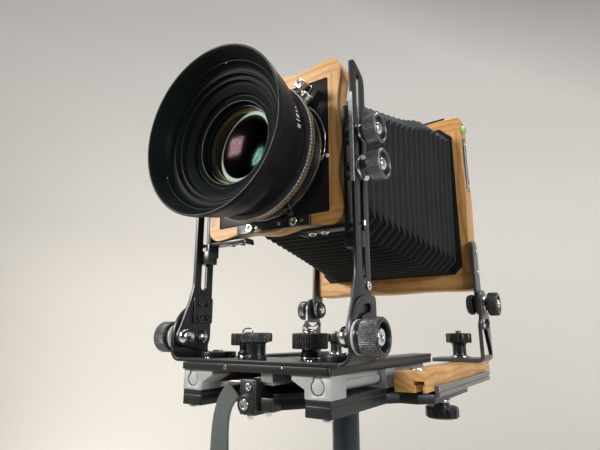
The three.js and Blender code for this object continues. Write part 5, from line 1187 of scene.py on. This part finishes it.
def bellows_turn(t, fold):
    """The section at t along: a rectangle between the frames' sizes, its corners cut by 17 and by more in the
    folds, 12 (1 - fold) below and 3 (1 - fold) above. Its top swells by 3 sin(pi t) and, where the cloth is
    slack, by 7.5 exp(-((t - 0.78) / 0.11)^2); its sides draw in by 3 sin(pi t), and by 5 t more at their foot.
    Between the corners each side sags inwards by 1.4 sin(pi t) sin(pi s)."""
    swell = math.sin(math.pi * t)
    wide, high = 133 + 92 * t - 9 * (1 - fold) - 6 * swell, 133 + 88 * t
    middle = FRONT_MIDDLE + (REAR_MIDDLE - FRONT_MIDDLE) * t
    a, low, top = wide / 2, middle - high / 2 + 4.5 * (1 - fold), middle + high / 2 + 4.5 * (1 - t) + 3 * swell
    top += 7.5 * math.exp(-((t - 0.78) / 0.11) ** 2) - 1.4 * (1 - fold)
    foot = a - 5 * t
    cut, upper_cut = 17 + 12 * (1 - fold), 17 + 3 * (1 - fold)
    corners = [(foot, low + cut), (a, top - upper_cut), (a - upper_cut, top), (upper_cut - a, top),
               (-a, top - upper_cut), (-foot, low + cut), (cut - foot, low), (foot - cut, low)]
    points = []
    for i, (start, end) in enumerate(zip(corners, corners[1:] + corners[:1])):
        count = 10 if i % 2 == 0 else 3
        s = np.linspace(0, 1, count, endpoint=False)[:, None]
        line = np.array(start) + s * (np.array(end) - start)
        slack = 1.4 * swell * np.sin(math.pi * s[:, 0])
        line += np.column_stack([-np.sign(line[:, 0]) * slack * (i in (0, 4)), slack * (i == 2) - slack * (i == 6)])
        points.append(line)
    return np.vstack(points)


def bellows_length(first, last):
    """The pleats from first to last as a skin of rings, and the fold's height at each point (1 on a ridge)."""
    stops = [(pleat + phase, fold) for pleat in range(first, last) for phase, fold in zip(phases, folds)] + [(last, 0)]
    rings, heights = [], []
    for pleat, fold in stops:
        turn = bellows_turn(pleat / PLEATS, fold)
        depth = BELLOWS[0] + pleat / PLEATS * (BELLOWS[1] - BELLOWS[0])
        rings.append(np.column_stack([turn[:, 0], np.full(len(turn), depth), turn[:, 1]]))
        heights.append(np.full(len(turn), float(fold)))
    return (np.vstack(rings), grid_faces(len(rings), len(turn), False, True)), np.concatenate(heights)


def pleated_cloth():
    """Black book cloth: a fine weave, greyer where rubbed on the ridges: mix = clamp(ridge^12 (0.35 + noise))."""
    made, n, shader = material("bellows_cloth", Specular_IOR_Level=0.22)
    ridge = n.add("Attribute", {"attribute_name": "ridge"}).outputs["Fac"]
    rubbed = n.math("MULTIPLY", n.math("POWER", ridge, 12), n.math("ADD", 0.35, n.noise(n.place(), 60, 4)), clamp=True)
    cloudy = n.noise(n.place(), 22, 4, 0.6)
    tone = n.mix(cloudy, (0.003, 0.0036, 0.0036), (0.0055, 0.0062, 0.0061))
    tone = n.mix(rubbed, tone, (0.036, 0.040, 0.039))
    n.set(shader, "Base Color", n.mix(n.use(dust, Amount=0.3)["Mask"], tone, (0.25, 0.24, 0.22)))
    n.set(shader, "Roughness", n.math("MULTIPLY_ADD", cloudy, 0.25, 0.5))
    threads = n.use(weave, Place=n.place(), Threads=1500)["Height"]
    relief = n.math("ADD", n.math("MULTIPLY", threads, 0.6), n.noise(n.place(), 900, 3))
    n.set(shader, "Normal", n.bump(relief, 0.05 * mm))
    return made


bellows_cloth = pleated_cloth()
stations = [0, 3, 9, 11, 14, 16, 21]
for index, (first, last) in enumerate(zip(stations, stations[1:])):
    skin, ridge = bellows_length(first, last)
    length = piece(f"bellows_{index + 1}", skin, None, bellows_cloth, () if index else "bellows", 25)
    length.data.attributes.new("ridge", "FLOAT", "POINT").data.foreach_set("value", ridge.astype(np.float32))
    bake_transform(length)
rim_outline = eased([(-113.5, 149.8, 11), (113.5, 149.8, 11), (113.5, 376), (-113.5, 376)], 17, True, 1)
rear_rim = plate(rim_outline, [[(98, 160), (98, 358), (-98, 358), (-98, 160)]], 301.3, 303.15, 0.5, 2)
piece("bellows_rear_rim", standing(rear_rim), "rear_frame", bellows_cloth)
opening = [(54, 197.78), (54, 301.28), (-54, 301.28), (-54, 197.78)]
front_rim = plate(box_outline(136, 136, 10, 0, FRONT_MIDDLE, 3), [opening], 20.05, 21.4, 0.4, 2)
piece("bellows_front_rim", standing(front_rim), "front", bellows_cloth)


# ---- Bed plate ----
# The fixed bed: a thick black-anodised plate with a thinner one screwed on top, milled with a recess
# between two horns at the front. Keys for the side rails stand on its wings, two small bearings on it.
def symmetric(half, radius):
    """A closed outline, its corners eased, from its right half and the same points across u = 0."""
    return eased(half + [(-u, v) for u, v in half[::-1]], radius, True)


horn = [(18, -15), (35, 12), (59, 12), (59, -27), (84, -27)]
wing = [(84, 81.5), (94, 93.5), (111, 93.5), (125, 105.5), (125, 230), (115, 240)]
gear_slot = [(9, 47.5), (26, 47.5), (26, 72.5), (9, 72.5)]
lower = plate(symmetric(horn + wing, 1.6), [gear_slot, circle(5, 32, 0, 154)], 0, 9.3, 0.6)
deck = inset(anticlockwise(symmetric(horn + [(84, 230)], 1.2)), 0.25)
upper = plate(deck, [gear_slot], 9.35, 14.4, 0.5)
pads = slab((94, 119), (107.5, 228), (9.2, 12))
key_neck, key_head = slab((115.05, 121.75), (120, 180), (11, 19)), slab((113.25, 123.55), (120, 180), (19, 22.4))
bearings = [slab((x, x + 6), (53, 67), (14.3, 20.5), 0.3) for x in (28, -52)]
piece("bed_plates", joined(lower, upper, both(pads), both(key_neck), both(key_head), *bearings), "bed", black_metal,
      "bed_plate")
under = [socket_bolt(4.6, 2.6, 2.2, s * 76, -19) for s in (-1, 1)]
under += [socket_bolt(3.6, 2.2, 1.8, s * x, y)
          for s in (-1, 1) for x, y in ((76, 96), (104, 130), (104, 216), (40, 200))]
under.append(socket_bolt(4.2, 2.4, 2, 44, 20))
on_top = [cross_screw(3.4, 1.6, 2, 0.45, s * 99, y, 11.9) for s in (-1, 1) for y in (112, 222)]
piece("bed_screws", joined(flipped(joined(*under), 1, 1, -1), *on_top), "bed", chrome)


# ---- Rail housings ----
# Two raw aluminium blocks at the front corners and two behind, cut through with a round channel open
# at the top. The focusing bed's guide rods slide in them; saw marks show on their front faces.
def milled_aluminium():
    """Raw aluminium: noise stretched along x as saw lines, over blotches of cool grey, with bright worn edges that also
    stand as painted edge highlights.
    """
    made, n, shader = material("raw_aluminium", Metallic=0.35)
    saw = n.noise(n.scaled(n.place(), 0.08, 1, 1), 2400, 4, 0.7)
    blotch = n.noise(n.place(), 90, 5, 0.65)
    tone = n.mix(blotch, (0.36, 0.375, 0.37), (0.56, 0.565, 0.555))
    tone = n.mix(n.math("MULTIPLY", saw, 0.45), tone, (0.17, 0.185, 0.18))
    edge = n.use(wear_and_highlight, Width=0.7 * mm, Amount=0.8)["Mask"]
    n.set(shader, "Base Color", n.mix(edge, tone, (0.75, 0.76, 0.76)))
    n.set(shader, "Roughness", n.math("MULTIPLY_ADD", blotch, 0.3, 0.38))
    n.set(shader, "Normal", n.bump(saw, 0.05 * mm))
    return made


raw_aluminium = milled_aluminium()
CHANNEL_X, CHANNEL_Z, CHANNEL_RADIUS, MOUTH = 71.5, 23.8, 6.8, 4.3


def channelled(start, end):
    """A housing's block from start to end: a rectangle less a round channel with a narrower mouth above, and
    stepped away towards the middle."""
    low, top = 14.4, 32.7
    mouth = math.degrees(math.asin(MOUTH / CHANNEL_RADIUS))
    groove = arc(CHANNEL_X, CHANNEL_Z, CHANNEL_RADIUS, 90 - mouth, 90 + mouth - 360, 36)
    outline = [(84, low), (84, top), (CHANNEL_X + MOUTH, top), *groove, (CHANNEL_X - MOUTH, top), (46, top),
               (46, 28.6), (59, 21.5), (59, low)]
    return standing(plate(outline, (), start, end, 0.25, 2))


for name, side in SIDES:
    piece(f"rail_housing_block_{name}", mirrored(channelled(-27, -0.7), side), "bed", raw_aluminium,
          f"rail_housing_{name}")
piece("guide_blocks", both(channelled(84, 108)), "bed", raw_aluminium)


# ---- Focusing bed ----
# A black plate that carries the front standard. Two round guide rods under it run in the housings,
# and two raised strips with a groove run back along its top.
focus_holes = [circle(4, 32, 0, SWING_Y), circle(4, 32, *SWING_KNOB), circle(4, 32, -SWING_KNOB[0], SWING_KNOB[1])]
focus_plate = plate(box_outline(169.4, 256, 3, 0, 98), focus_holes, 33, 39.7, 0.5)
strips = [slab((62.7, 72.9), (52, 226), (39.6, 43.3)), slab((74.5, 84.7), (52, 226), (39.6, 43.3)),
          slab((72.8, 74.6), (52, 226), (39.6, 41.9), 0.05)]
piece("focus_plate", joined(focus_plate, both(joined(*strips))), "focus_bed", black_metal, "focus_bed")
guide_rod = moved(standing(rod(5.7, -26.4, 222, 0.4, 48)), (CHANNEL_X, 0, CHANNEL_Z))
guide_neck = slab((CHANNEL_X - 3.5, CHANNEL_X + 3.5), (-26, 221.7), (CHANNEL_Z, 33.1))
piece("guide_rods", both(joined(guide_rod, guide_neck)), "focus_bed", raw_aluminium)
edge_screws = [cross_screw(r, 0.5, 0.6 * r, 0.16 * r, x, z, 29.6) for x, z, r in ((-27, 36.4, 1.9), (38, 38, 0.9))]
piece("focus_bed_screws", facing(joined(*edge_screws)), "focus_bed", chrome)
front_tops = [cross_screw(3.2, 0.36, 1.9, 0.4, s * x, y, 39.6) for s in (-1, 1) for x, y in ((78, 40), (52, 44))]
piece("focus_bed_top_screws", joined(*front_tops), "focus_bed", chrome)


# ---- Rack and pinion ----
# A steel rack under the focusing bed, its teeth down, and a sixteen-tooth pinion on a cross shaft that
# turns in the bed. One milled knob at the left end drives it.
TOOTH, TEETH, SHAFT_Y, SHAFT_Z = 1.25, 16, 60, 13.5
steel = metal("rack_steel", (0.34, 0.34, 0.33), (0.6, 0.6, 0.58), 0.35, 0.9, amount=0.7, grit=0.01, brushed=(1, 0.1, 1))
pitch, rack_line = math.pi * TOOTH, SHAFT_Z + TEETH / 2 * TOOTH
root, tip = rack_line + 1.25 * TOOTH, rack_line - TOOTH
RACK_FROM, RACK_TO, RACK_TOP = -23, 192, 33
first_gap = SHAFT_Y - pitch * math.floor((SHAFT_Y - RACK_FROM) / pitch)
gaps = first_gap + pitch * np.arange(math.floor((RACK_TO - RACK_FROM) / pitch))
comb = [(first_gap - pitch / 2, RACK_TOP), (first_gap - pitch / 2, root)]
comb += [(gap + share * pitch, z) for gap in gaps
         for share, z in ((0.17, root), (0.36, tip), (0.64, tip), (0.83, root))]
comb += [(gaps[-1] + pitch, root), (gaps[-1] + pitch, RACK_TOP)]
piece("focus_rack_teeth", sideways(plate(comb, (), 11, 24, 0.12, 1)), "focus_bed", steel, "focus_rack")


def gear_outline(count, tip, root):
    """A spur gear's outline with straight flanks: root, tip, tip, root for each tooth."""
    step = 2 * math.pi / count
    turns = [(step * (i + 0.5 + share), r) for i in range(count)
             for share, r in ((-0.36, root), (-0.17, tip), (0.17, tip), (0.36, root))]
    return [(r * math.cos(a), r * math.sin(a)) for a, r in turns]


on_shaft = (0, SHAFT_Y, SHAFT_Z)
pinion = plate(gear_outline(TEETH, 11.1, 8.5), [circle(3.1, 24)], 11.5, 23.5, 0.15, 1)
piece("pinion_gear", moved(sideways(joined(pinion, rod(3, -119, 35, 0.4, 32))), on_shaft), "focus_pinion", steel,
      "focus_pinion")
knob_profile = [(0, 117), (6, 117), (6, 119.5), (12, 119.5), (12, 135.5), (0, 135.5)]
focus_knob = flipped(turned(knob_profile, 0.8, flutes=(44, 0.6, 120.3, 134.7)), 1, 1, -1)
piece("focusing_knob", moved(sideways(focus_knob), on_shaft), "focus_pinion", knob_metal)


# ---- Strap block ----
# A black block bolted between the horns. The strap's end is held behind its disc by a chromed socket
# bolt; a smaller screw sits above, and two chromed nuts show beneath.
block_body = slab((-8, 10), (-30, -15), (-2.7, 27), 0.7, 0.8)
disc = facing(plate(circle(8.6, 64, 0, 6.2), (), 29.6, 33, 1.0, 3, 0))
crosspiece = slab((10, 26), (-26, -14), (0.6, 12), 0.6, 0.8)
piece("strap_block_body", joined(block_body, disc, crosspiece), "bed", black_metal, "strap_block")
fronts = facing(joined(socket_bolt(4.7, 1.5, 2.9, 0, 6.2, 32.9), cross_screw(3.3, 1.3, 2, 0.45, 2, 20.5, 29.9)))
nuts = [moved(flipped(dome_nut(3.4, 0, 4.4, 24), 1, 1, -1), place) for place in ((0, -24, -2.6), (17, -20, 0.8))]
piece("strap_block_bolts", joined(fronts, *nuts), "bed", chrome)


# ---- Side rails ----
# Two straight hardwood rails on the bed's wings, each slotted from below for its key. A grey metal
# strip runs along the outer edge, a chromed insert sits in the top, and a knob below locks each rail.
def lengthwise(n, place):
    """Grain along y: the place turned to (x, z, y) and shifted, so that these boards differ from the frames."""
    split = n.add("SeparateXYZ", None, {0: place})
    swapped = n.add("CombineXYZ", None, {0: split.outputs[0], 1: split.outputs[2], 2: split.outputs[1]})
    return n.vector("ADD", swapped.outputs[0], (0.33, 0.4, 0.05))


rail_wood = wooden("rail_wood", lengthwise)
rail_section = [(94, 12.3, 0.8), (114.75, 12.3, 0), (114.75, 18.7, 0), (112.95, 18.7, 0), (112.95, 22.7, 0),
                (123.85, 22.7, 0), (123.85, 18.7, 0), (122.05, 18.7, 0), (122.05, 12.3, 0), (125, 12.3, 0.3),
                (125, 31.3, 1.2), (94, 31.3, 1.2)]
rail = standing(plate(eased(rail_section, 0.8, True), (), 79.5, 360, 0.5, 3))
grey_metal = metal("grey_strip", (0.20, 0.195, 0.19), (0.5, 0.5, 0.5), 0.34, 0.6, amount=0.7, grit=0.01,
                   brushed=(1, 0.05, 1))
strip_section = [(125.3, 6.3), (129.3, 6.3), (129.7, 6.7), (129.7, 10.6), (128.7, 11.2), (128.7, 12.2), (130, 12.8),
                 (130, 16.8), (129.5, 17.3), (125.05, 17.3), (125.05, 12.8), (125.3, 12.8)]
strip = standing(plate(strip_section, (), 105.5, 334, 0.2, 1))
insert = [(0, 31), (7.9, 31), (7.9, 32.0), (6.6, 33.0), (2.2, 33.5), (1.8, 33.2), (0, 33.2)]
insert = moved(turned(insert, 0.5, 48), (109, 106, 0))
dark = [knob_body(17, 6.7, 17.7, 8, 6, 1.2, 12, 0.9, 1.4), rod(3, -6, 3, 0.3)]
light = [washer(9, 3.2, 0, 2.3), socket_bolt(4.6, 1.6, 2.3, 0, 0, 16.6)]
for name, side in SIDES:
    piece(f"side_rail_wood_{name}", mirrored(rail, side), "rear_rails", rail_wood, f"side_rail_{name}")
    piece(f"side_rail_strip_{name}", mirrored(strip, side), "rear_rails", grey_metal)
    piece(f"side_rail_insert_{name}", mirrored(insert, side), "rear_rails", chrome)
    dress_knob(f"rail_lock_knob_{name}", (side * 118.4, 146, 0), (0, 0, -1), dark, light)


# ---- Rear brackets ----
# Two thick anodised plates bent up from the rails. A curved slot low in each lets the rear tilt, and a
# star knob through the foot clamps it to the rail. The rear frame hangs between them on two flat arms.
# painted sheen: black anodised plates coloured mid-grey, as their faces look lit by the light from the right
painted_sheen_grey = metal("painted_sheen_grey", (0.085, 0.083, 0.088), (0.42, 0.42, 0.42), 0.34, 0.3, amount=0.5, grit=0.01)
REAR_PIVOT, STAR_X, STAR_Y = (300, 106.3), 98, 310
RAIL_TOP, FOOT_TOP, BRACKET_FACE = 31.3, 36.3, 138.9
foot = plate(box_outline(59.95, 50, 0.5, 100.975, 297), [circle(3.4, 32, STAR_X, STAR_Y)], RAIL_TOP, FOOT_TOP, 0.5)
wall = np.vstack([arc(*REAR_PIVOT, 19, 0, 180, 24), [(281, 90)],
                  eased([(278, 84), (272, 80), (272, 39.25, 0), (322, 39.25, 0), (322, 86), (319.5, 92)], 6)])
wall_holes = [bent_slot(*REAR_PIVOT, 30, 230.4, 309.6, 3), circle(4, 32, *REAR_PIVOT)]
bracket = joined(foot, bend(130.9, 39.3, 5, 50, 5.5, 297), sideways(plate(wall, wall_holes, 133.9, BRACKET_FACE, 0.5)))
arm_outline = np.vstack([arc(306, 184, 12, 0, 180, 24), arc(306, REAR_PIVOT[1], 14, 180, 360, 24)])
rear_arm = sideways(plate(arm_outline, [circle(4, 32, *REAR_PIVOT)], 127.95, 131.9, 0.5))
arm_screws = [cross_screw(3.6, 1.7, 2.2, 0.5, 310, z, 131.8, turn) for z, turn in ((180, 0.2), (150, 0.9))]
arm_screws = sideways(joined(*arm_screws))
for name, side in SIDES:
    piece(f"rear_bracket_plate_{name}", mirrored(bracket, side), "rear_rails", painted_sheen_grey,
          f"rear_bracket_{name}")
    piece(f"rear_arm_plate_{name}", mirrored(rear_arm, side), "rear_frame", painted_sheen_grey,
          f"rear_arm_{name}")
    piece(f"rear_arm_screws_{name}", mirrored(arm_screws, side), "rear_frame", chrome)


# ---- Rear tilt knobs ----
# Milled clamp knobs on the brackets' outer sides, each with a bright washer; the bolt ends inside in a
# round black nut with a chromed dome.
inner = [(0, -11.3), (9, -11.3), (13.5, -13.5), (13.5, -19), (11.4, -21.9), (8.2, -21.9), (7.6, -20.4), (0, -20.4)]
dark = [knob_body(15.5, 5.4, 18.4, 9, 10.4, 4, 36, 0.9), rod(3.7, -12, 3, 0.4),
        turned(inner, 0.7, flutes=(40, 0.5, -18.6, -13.9))]
light = [washer(11, 3.8, 0, 2.3, 0.5), socket_bolt(5.6, 4.6, 2.8, 0, 0, 14.6),
         turned([(0, -20), (6.6, -20), (6.2, -22.2), (3.6, -23.6), (0, -24)], 0.9, 40)]
for name, side in SIDES:
    dress_knob(f"rear_tilt_knob_{name}", (side * BRACKET_FACE, *REAR_PIVOT), (side, 0, 0), dark, light)


# ---- Star knobs ----
# Six-lobed knobs of black moulded plastic on a turned neck, with a chromed washer under them and a
# chromed nut on top. Each is screwed down through a bracket's foot and clamps it to the rail.
star_plastic = metal("star_plastic", (0.010, 0.011, 0.012), (0.10, 0.10, 0.10), 0.3, amount=0.5, grit=0.01)
lobes = np.vstack([arc(11.5 * math.cos(t), 11.5 * math.sin(t), 6, math.degrees(t - 1.2), math.degrees(t + 1.2), 12)
                   for t in np.arange(6) * math.pi / 3])
star = plate(eased(lobes, 0.2, True, 2), (), 19, 32, 1.6, 4)
neck = turned([(0, 1.6), (9.6, 1.6), (9, 5), (9, 15), (11, 19.4), (0, 19.4)], 1.0, 64)
grip, nut = joined(star, neck, rod(3, -12, 2, 0.3)), joined(washer(14, 3.1, 0, 1.6), dome_nut(5.4, 31.6, 4.4, 32))
for name, side in SIDES:
    body, move = f"star_knob_{name}", aimed(UP, (side * STAR_X, STAR_Y, FOOT_TOP))
    piece(f"{body}_grip", moved(grip, move), body, star_plastic, body, 30)
    piece(f"{body}_nut", moved(nut, move), body, chrome)


# ---- Rear frame ----
# A larger carved hardwood frame, oiled, in two layers, that carries the film back. A black spring
# catch with a bright strip is let into its side.
REAR_HALF, REAR_HIGH, SCOOP, REAR_CORNER, REAR_FACE, REAR_LAYER = 127.9, 132.3, 1.4, 9, 303.2, 313.4
rear_wood = wooden("rear_wood", around(108 * mm, float(at((0, 0, REAR_MIDDLE))[2])))
rear_outline = scooped(REAR_HALF, REAR_HIGH, REAR_MIDDLE, SCOOP, REAR_CORNER, 60)
rear_hole = box_outline(200, 200, 4, 0, REAR_MIDDLE)
rear_face = facing(plate(rear_outline, [rear_hole], REAR_FACE, REAR_LAYER, 2.6, 4, 0))
rear_face = moved(rear_face, (0, REAR_FACE + REAR_LAYER, 0))
rear_body = standing(plate(rear_outline, [rear_hole], REAR_LAYER + 0.02, 333.2, 1.4, 4, 0))
piece("rear_frame_wood", joined(rear_face, rear_body), "rear_frame", rear_wood, "rear_frame", 40)
catch = eased([(313.6, 274), (321, 274), (321, 350), (319, 358), (315, 358), (313.6, 350)], 1.2, True)
piece("rear_catch", sideways(plate(catch, (), 125.5, 128.9, 0.4)), "rear_frame", black_metal)
bright_strip = plate(box_outline(5.4, 80, 0.8, 310.6, 314), (), 125.5, 129.2, 0.4, 2)
catch_screws = [cross_screw(2.7, 1.2, 1.5, 0.4, 317.2, z, 128.8) for z in (280, 347)]
piece("rear_catch_trim", sideways(joined(bright_strip, *catch_screws)), "rear_frame", chrome)


# ---- Focusing cloth tape ----
# A strip of black hook tape glued along the frame's top. A dark cloth thrown over the back grips it; it
# follows the carved edge, and its width wavers a little along its length.
tape_rings = []
for u in np.linspace(-104, 104, 53):
    lift = REAR_MIDDLE + REAR_HIGH - SCOOP * math.sin(math.pi * u / (REAR_HALF - REAR_CORNER)) ** 2
    section = box_outline(19 + 0.5 * math.sin(3 * u), 2.4, 0.9, 313, lift + 1.1, 2)
    tape_rings.append([(u, y, z) for y, z in section])
piece("cloth_tape", loft(tape_rings), "rear_frame", bellows_cloth)


# ---- Bubble level ----
# A round spirit level glued to the frame's side: a shallow vial filled with clear green liquid. A
# black ring is printed on its face.
level_at = aimed((1, 0, 0), (REAR_HALF, 309.2, 368.8))
liquid, n, shader = material("level_liquid", Coat_Weight=1.0, Coat_Roughness=0.03, Roughness=0.25)
n.set(shader, "Base Color", n.mix(n.noise(n.place(), 300, 2), (0.26, 0.50, 0.14), (0.40, 0.66, 0.24)))
vial = turned([(0, 0.1), (5.8, 0.1), (5.8, 4.6), (5.0, 5.4), (0, 6.2)], 0.4, 48)
piece("bubble_level_vial", moved(vial, level_at), "rear_frame", liquid, "bubble_level")
ring_line = turned([(2.2, 5.6), (2.5, 6.15), (2.5, 5.6)], 0.05, 32, closed=True)
piece("bubble_level_ring", moved(ring_line, level_at), "rear_frame", black_metal)


# ---- Film back ----
# A hardwood frame held on by two leaf springs. Behind its window is the ground-glass focusing screen,
# etched on one face, with ruled lines in pencil.
back_wood = wooden("back_wood", around(90 * mm, float(at((0, 0, REAR_MIDDLE))[2])))
back_outline = box_outline(216, 216, 6, 0, REAR_MIDDLE)
back_frame = plate(back_outline, [box_outline(174, 124, 2, 0, REAR_MIDDLE)], 336.9, 349.5, 1.6, 4, 0)
pocket_frame = plate(back_outline, [box_outline(187, 137, 1, 0, REAR_MIDDLE)], 333.5, 336.88, 0.3, 2)
piece("glass_back_wood", standing(joined(back_frame, pocket_frame)), "glass_back", back_wood, "glass_frame", 40)


def etched_glass():
    """Ground glass: pale, finely pitted, with a grid where fract(x / 20 mm) or fract(z / 20 mm), shifted to put a
    line's middle on the centre, is under 0.02."""
    made, n, shader = material("ground_glass", Transmission_Weight=0.25, IOR=1.45)
    split = n.add("SeparateXYZ", None, {0: n.vector("SUBTRACT", n.place(), tuple(at((0, 0, REAR_MIDDLE))))})
    cells = [n.math("ADD", n.math("DIVIDE", split.outputs[i], 20 * mm), 100.01) for i in (0, 2)]
    lines = [n.math("LESS_THAN", n.math("FRACT", cell), 0.02) for cell in cells]
    pits = n.noise(n.place(), 3000, 3, 0.7)
    tone = n.mix(pits, (0.42, 0.46, 0.44), (0.54, 0.58, 0.55))
    n.set(shader, "Base Color", n.mix(n.math("MULTIPLY", n.math("MAXIMUM", *lines), 0.7), tone, (0.06, 0.06, 0.06)))
    n.set(shader, "Roughness", n.math("MULTIPLY_ADD", pits, 0.2, 0.5))
    n.set(shader, "Normal", n.bump(pits, 0.02 * mm))
    return made


screen = plate(box_outline(186, 136, 0.4, 0, REAR_MIDDLE), (), 333.55, 336.5, 0.25, 2)
piece("focusing_screen", standing(screen), "glass_back", etched_glass(), "ground_glass")
SPRING_X, SPRING_HALF = 98, 88
bowed = []
for x in (-SPRING_X, SPRING_X):
    rings = []
    for v in np.linspace(-SPRING_HALF, SPRING_HALF, 40):
        y = 350 + 5.5 * math.cos(math.pi * v / (2 * SPRING_HALF)) ** 2
        rings.append([(x + u, y + w, REAR_MIDDLE + v) for u, w in ((-5, 0), (5, 0), (5, 0.9), (-5, 0.9))])
    bowed.append(loft(rings))
piece("leaf_springs", joined(*bowed), "glass_back", steel)
ends = [cross_screw(3.2, 1.3, 1.9, 0.4, x, REAR_MIDDLE + v, 350.6) for x in (-SPRING_X, SPRING_X) for v in (-84, 84)]
piece("leaf_spring_screws", standing(joined(*ends)), "glass_back", chrome)


# ---- Tripod column ----
# A thick black-painted tube with a round platform and the camera's screw on top. It slides in the
# crown and is held by a side knob.
COLUMN_Y, CROWN_TOP = 154, -100
tripod_axis = (0, COLUMN_Y, CROWN_TOP)
tripod_paint = metal("tripod_paint", (0.018, 0.026, 0.034), (0.26, 0.28, 0.3), 0.33, 0.2, amount=0.6)
column = [(0, 108), (4.7, 108), (4.7, 100), (31, 100, 0.8), (31, 89, 1.2), (26, 86, 1.5), (16, 86, 1), (16, -190),
          (18, -192, 0.6), (18, -196, 0.8), (0, -196)]
piece("column_tube", moved(turned(column, 0.4, 96), tripod_axis), "column", tripod_paint, "column")


# ---- Tripod crown ----
# A cast hub, painted black, with three pairs of ears for the legs' pins and a boss for the column's
# clamp. Chromed hexagon nuts hold the pins at both ends.
LEG_AZIMUTHS, LEG_PIN, PIN_DROP = (-90, 30, 150), 46, 24


def spun(shape, angle):
    """A shape turned about the tripod's own axis by an angle in degrees."""
    return moved(shape, lambda p: rotated(p, math.radians(angle)))


hub = [(16.3, -46), (28, -46), (32, -42, 1.5), (32, -8, 1.2), (24, -8, 1.5), (24, 0, 1), (16.3, 0, 0.5)]
ear = np.vstack([arc(LEG_PIN, -PIN_DROP, 10, -90, 90, 20), [(26, -10), (26, -40)]])
ears = [standing(plate(ear, [circle(2.9, 24, LEG_PIN, -PIN_DROP)], y, y + 5, 0.5)) for y in (8.3, -13.3)]
pin = plate(circle(5.2, 6, LEG_PIN, -PIN_DROP), (), 13.4, 16.2, 0.5)
lugs = [spun(shape, angle) for angle in LEG_AZIMUTHS for shape in ears]
boss = spun(moved(sideways(rod(11, 22, 44, 0.8, 48)), (0, 0, -PIN_DROP)), 90)
piece("crown_hub", moved(joined(turned(hub, 0.6, 96, closed=True), *lugs, boss), tripod_axis), "crown", tripod_paint,
      "tripod_crown")
bolts = [spun(shape, angle) for angle in LEG_AZIMUTHS for shape in (standing(pin), facing(pin))]
piece("crown_bolts", moved(joined(*bolts), tripod_axis), "crown", chrome)
clamp = [knob_body(17, 5.4, 20.4, 8, 7, 1.4, 9, 1.6, 2.0),
         turned([(0, -24), (4, -24), (4, 2), (11, 2), (11, 5), (0, 5)], 0.3, 32)]
dress_knob("column_clamp", (0, COLUMN_Y + 44, CROWN_TOP - PIN_DROP), (0, 1, 0), clamp,
           [socket_bolt(4.4, 1.4, 2.2, 0, 0, 19.2)])


# ---- Legs ----
# Three two-part tube legs. The upper tube is painted black, with a ribbed rubber twist grip at its end;
# the lower is bright drawn aluminium with a rubber foot cut level with the floor.
LEG_LENGTH, LEG_SPREAD = 520, math.radians(24)
rubber, n, shader = material("rubber", Roughness=0.75)
n.set(shader, "Base Color", n.mix(n.noise(n.place(), 130, 4), (0.014, 0.014, 0.015), (0.03, 0.03, 0.031)))
n.set(shader, "Normal", n.bump(n.noise(n.place(), 1800), 0.05 * mm))
drawn_tube = metal("drawn_tube", (0.50, 0.51, 0.52), (0.8, 0.8, 0.8), 0.3, 0.9, amount=0.4, grit=0.006,
                   brushed=(1, 1, 0.05))
tongue = np.vstack([arc(0, 0, 10, 0, 180, 24), [(-10, -33), (10, -33)]])
fork = flipped(standing(plate(tongue, [circle(2.9, 24)], -8, 8, 0.6)), 1, 1, -1)
upper = [(0, 28), (11, 28), (15, 32), (15, 429.5, 0.4), (13.2, 429.5, 0.3), (13.2, 34), (0, 34)]
upper = joined(turned(upper, 0.8, 64), fork)
ribs = [(15.35, 409.3), (18.4, 409.3, 1.2)] + [(19.5 - 1.1 * (i % 2), 412 + 2.6 * i, 0.5) for i in range(15)]
ribs = turned(ribs + [(18.4, 450.8, 1.2), (12, 450.8), (12, 431), (15.35, 430)], 0.4, 144, closed=True)
lower = turned([(9.5, 92), (11.5, 92), (11.5, 484), (9.5, 484)], 0.3, 64, closed=True)
shoe = [(0, 482), (14.5, 482), (15, 488, 1), (16.5, 498, 2), (13.4, 522, 3), (13.4, 540), (0, 540)]
shoe = turned(shoe, 1.0, 64)
FLOOR_Z = CROWN_TOP - PIN_DROP - LEG_LENGTH * math.cos(LEG_SPREAD)
for index, azimuth in enumerate(LEG_AZIMUTHS, 1):
    a = math.radians(azimuth)
    out = np.array([math.cos(a), math.sin(a), 0])
    down = math.sin(LEG_SPREAD) * out - math.cos(LEG_SPREAD) * np.array([0, 0, 1])
    side = np.cross([0, 0, 1], out)
    axes = np.array([np.cross(side, down), side, down])
    leg = lambda p: p @ axes + (0, COLUMN_Y, CROWN_TOP - PIN_DROP) + LEG_PIN * out
    on_floor = lambda p: np.column_stack([p[:, :2], np.maximum(p[:, 2], FLOOR_Z)])
    piece(f"leg_{index}_upper_tube", moved(upper, leg), f"leg_upper_{index}", tripod_paint,
          f"leg_upper_{index}")
    piece(f"leg_{index}_grip", moved(ribs, leg), f"leg_lock_{index}", rubber, f"leg_lock_{index}")
    piece(f"leg_{index}_lower_tube", moved(lower, leg), f"leg_lower_{index}", drawn_tube,
          f"leg_lower_{index}")
    piece(f"leg_{index}_foot", moved(shoe, leg, on_floor), f"leg_lower_{index}", rubber)
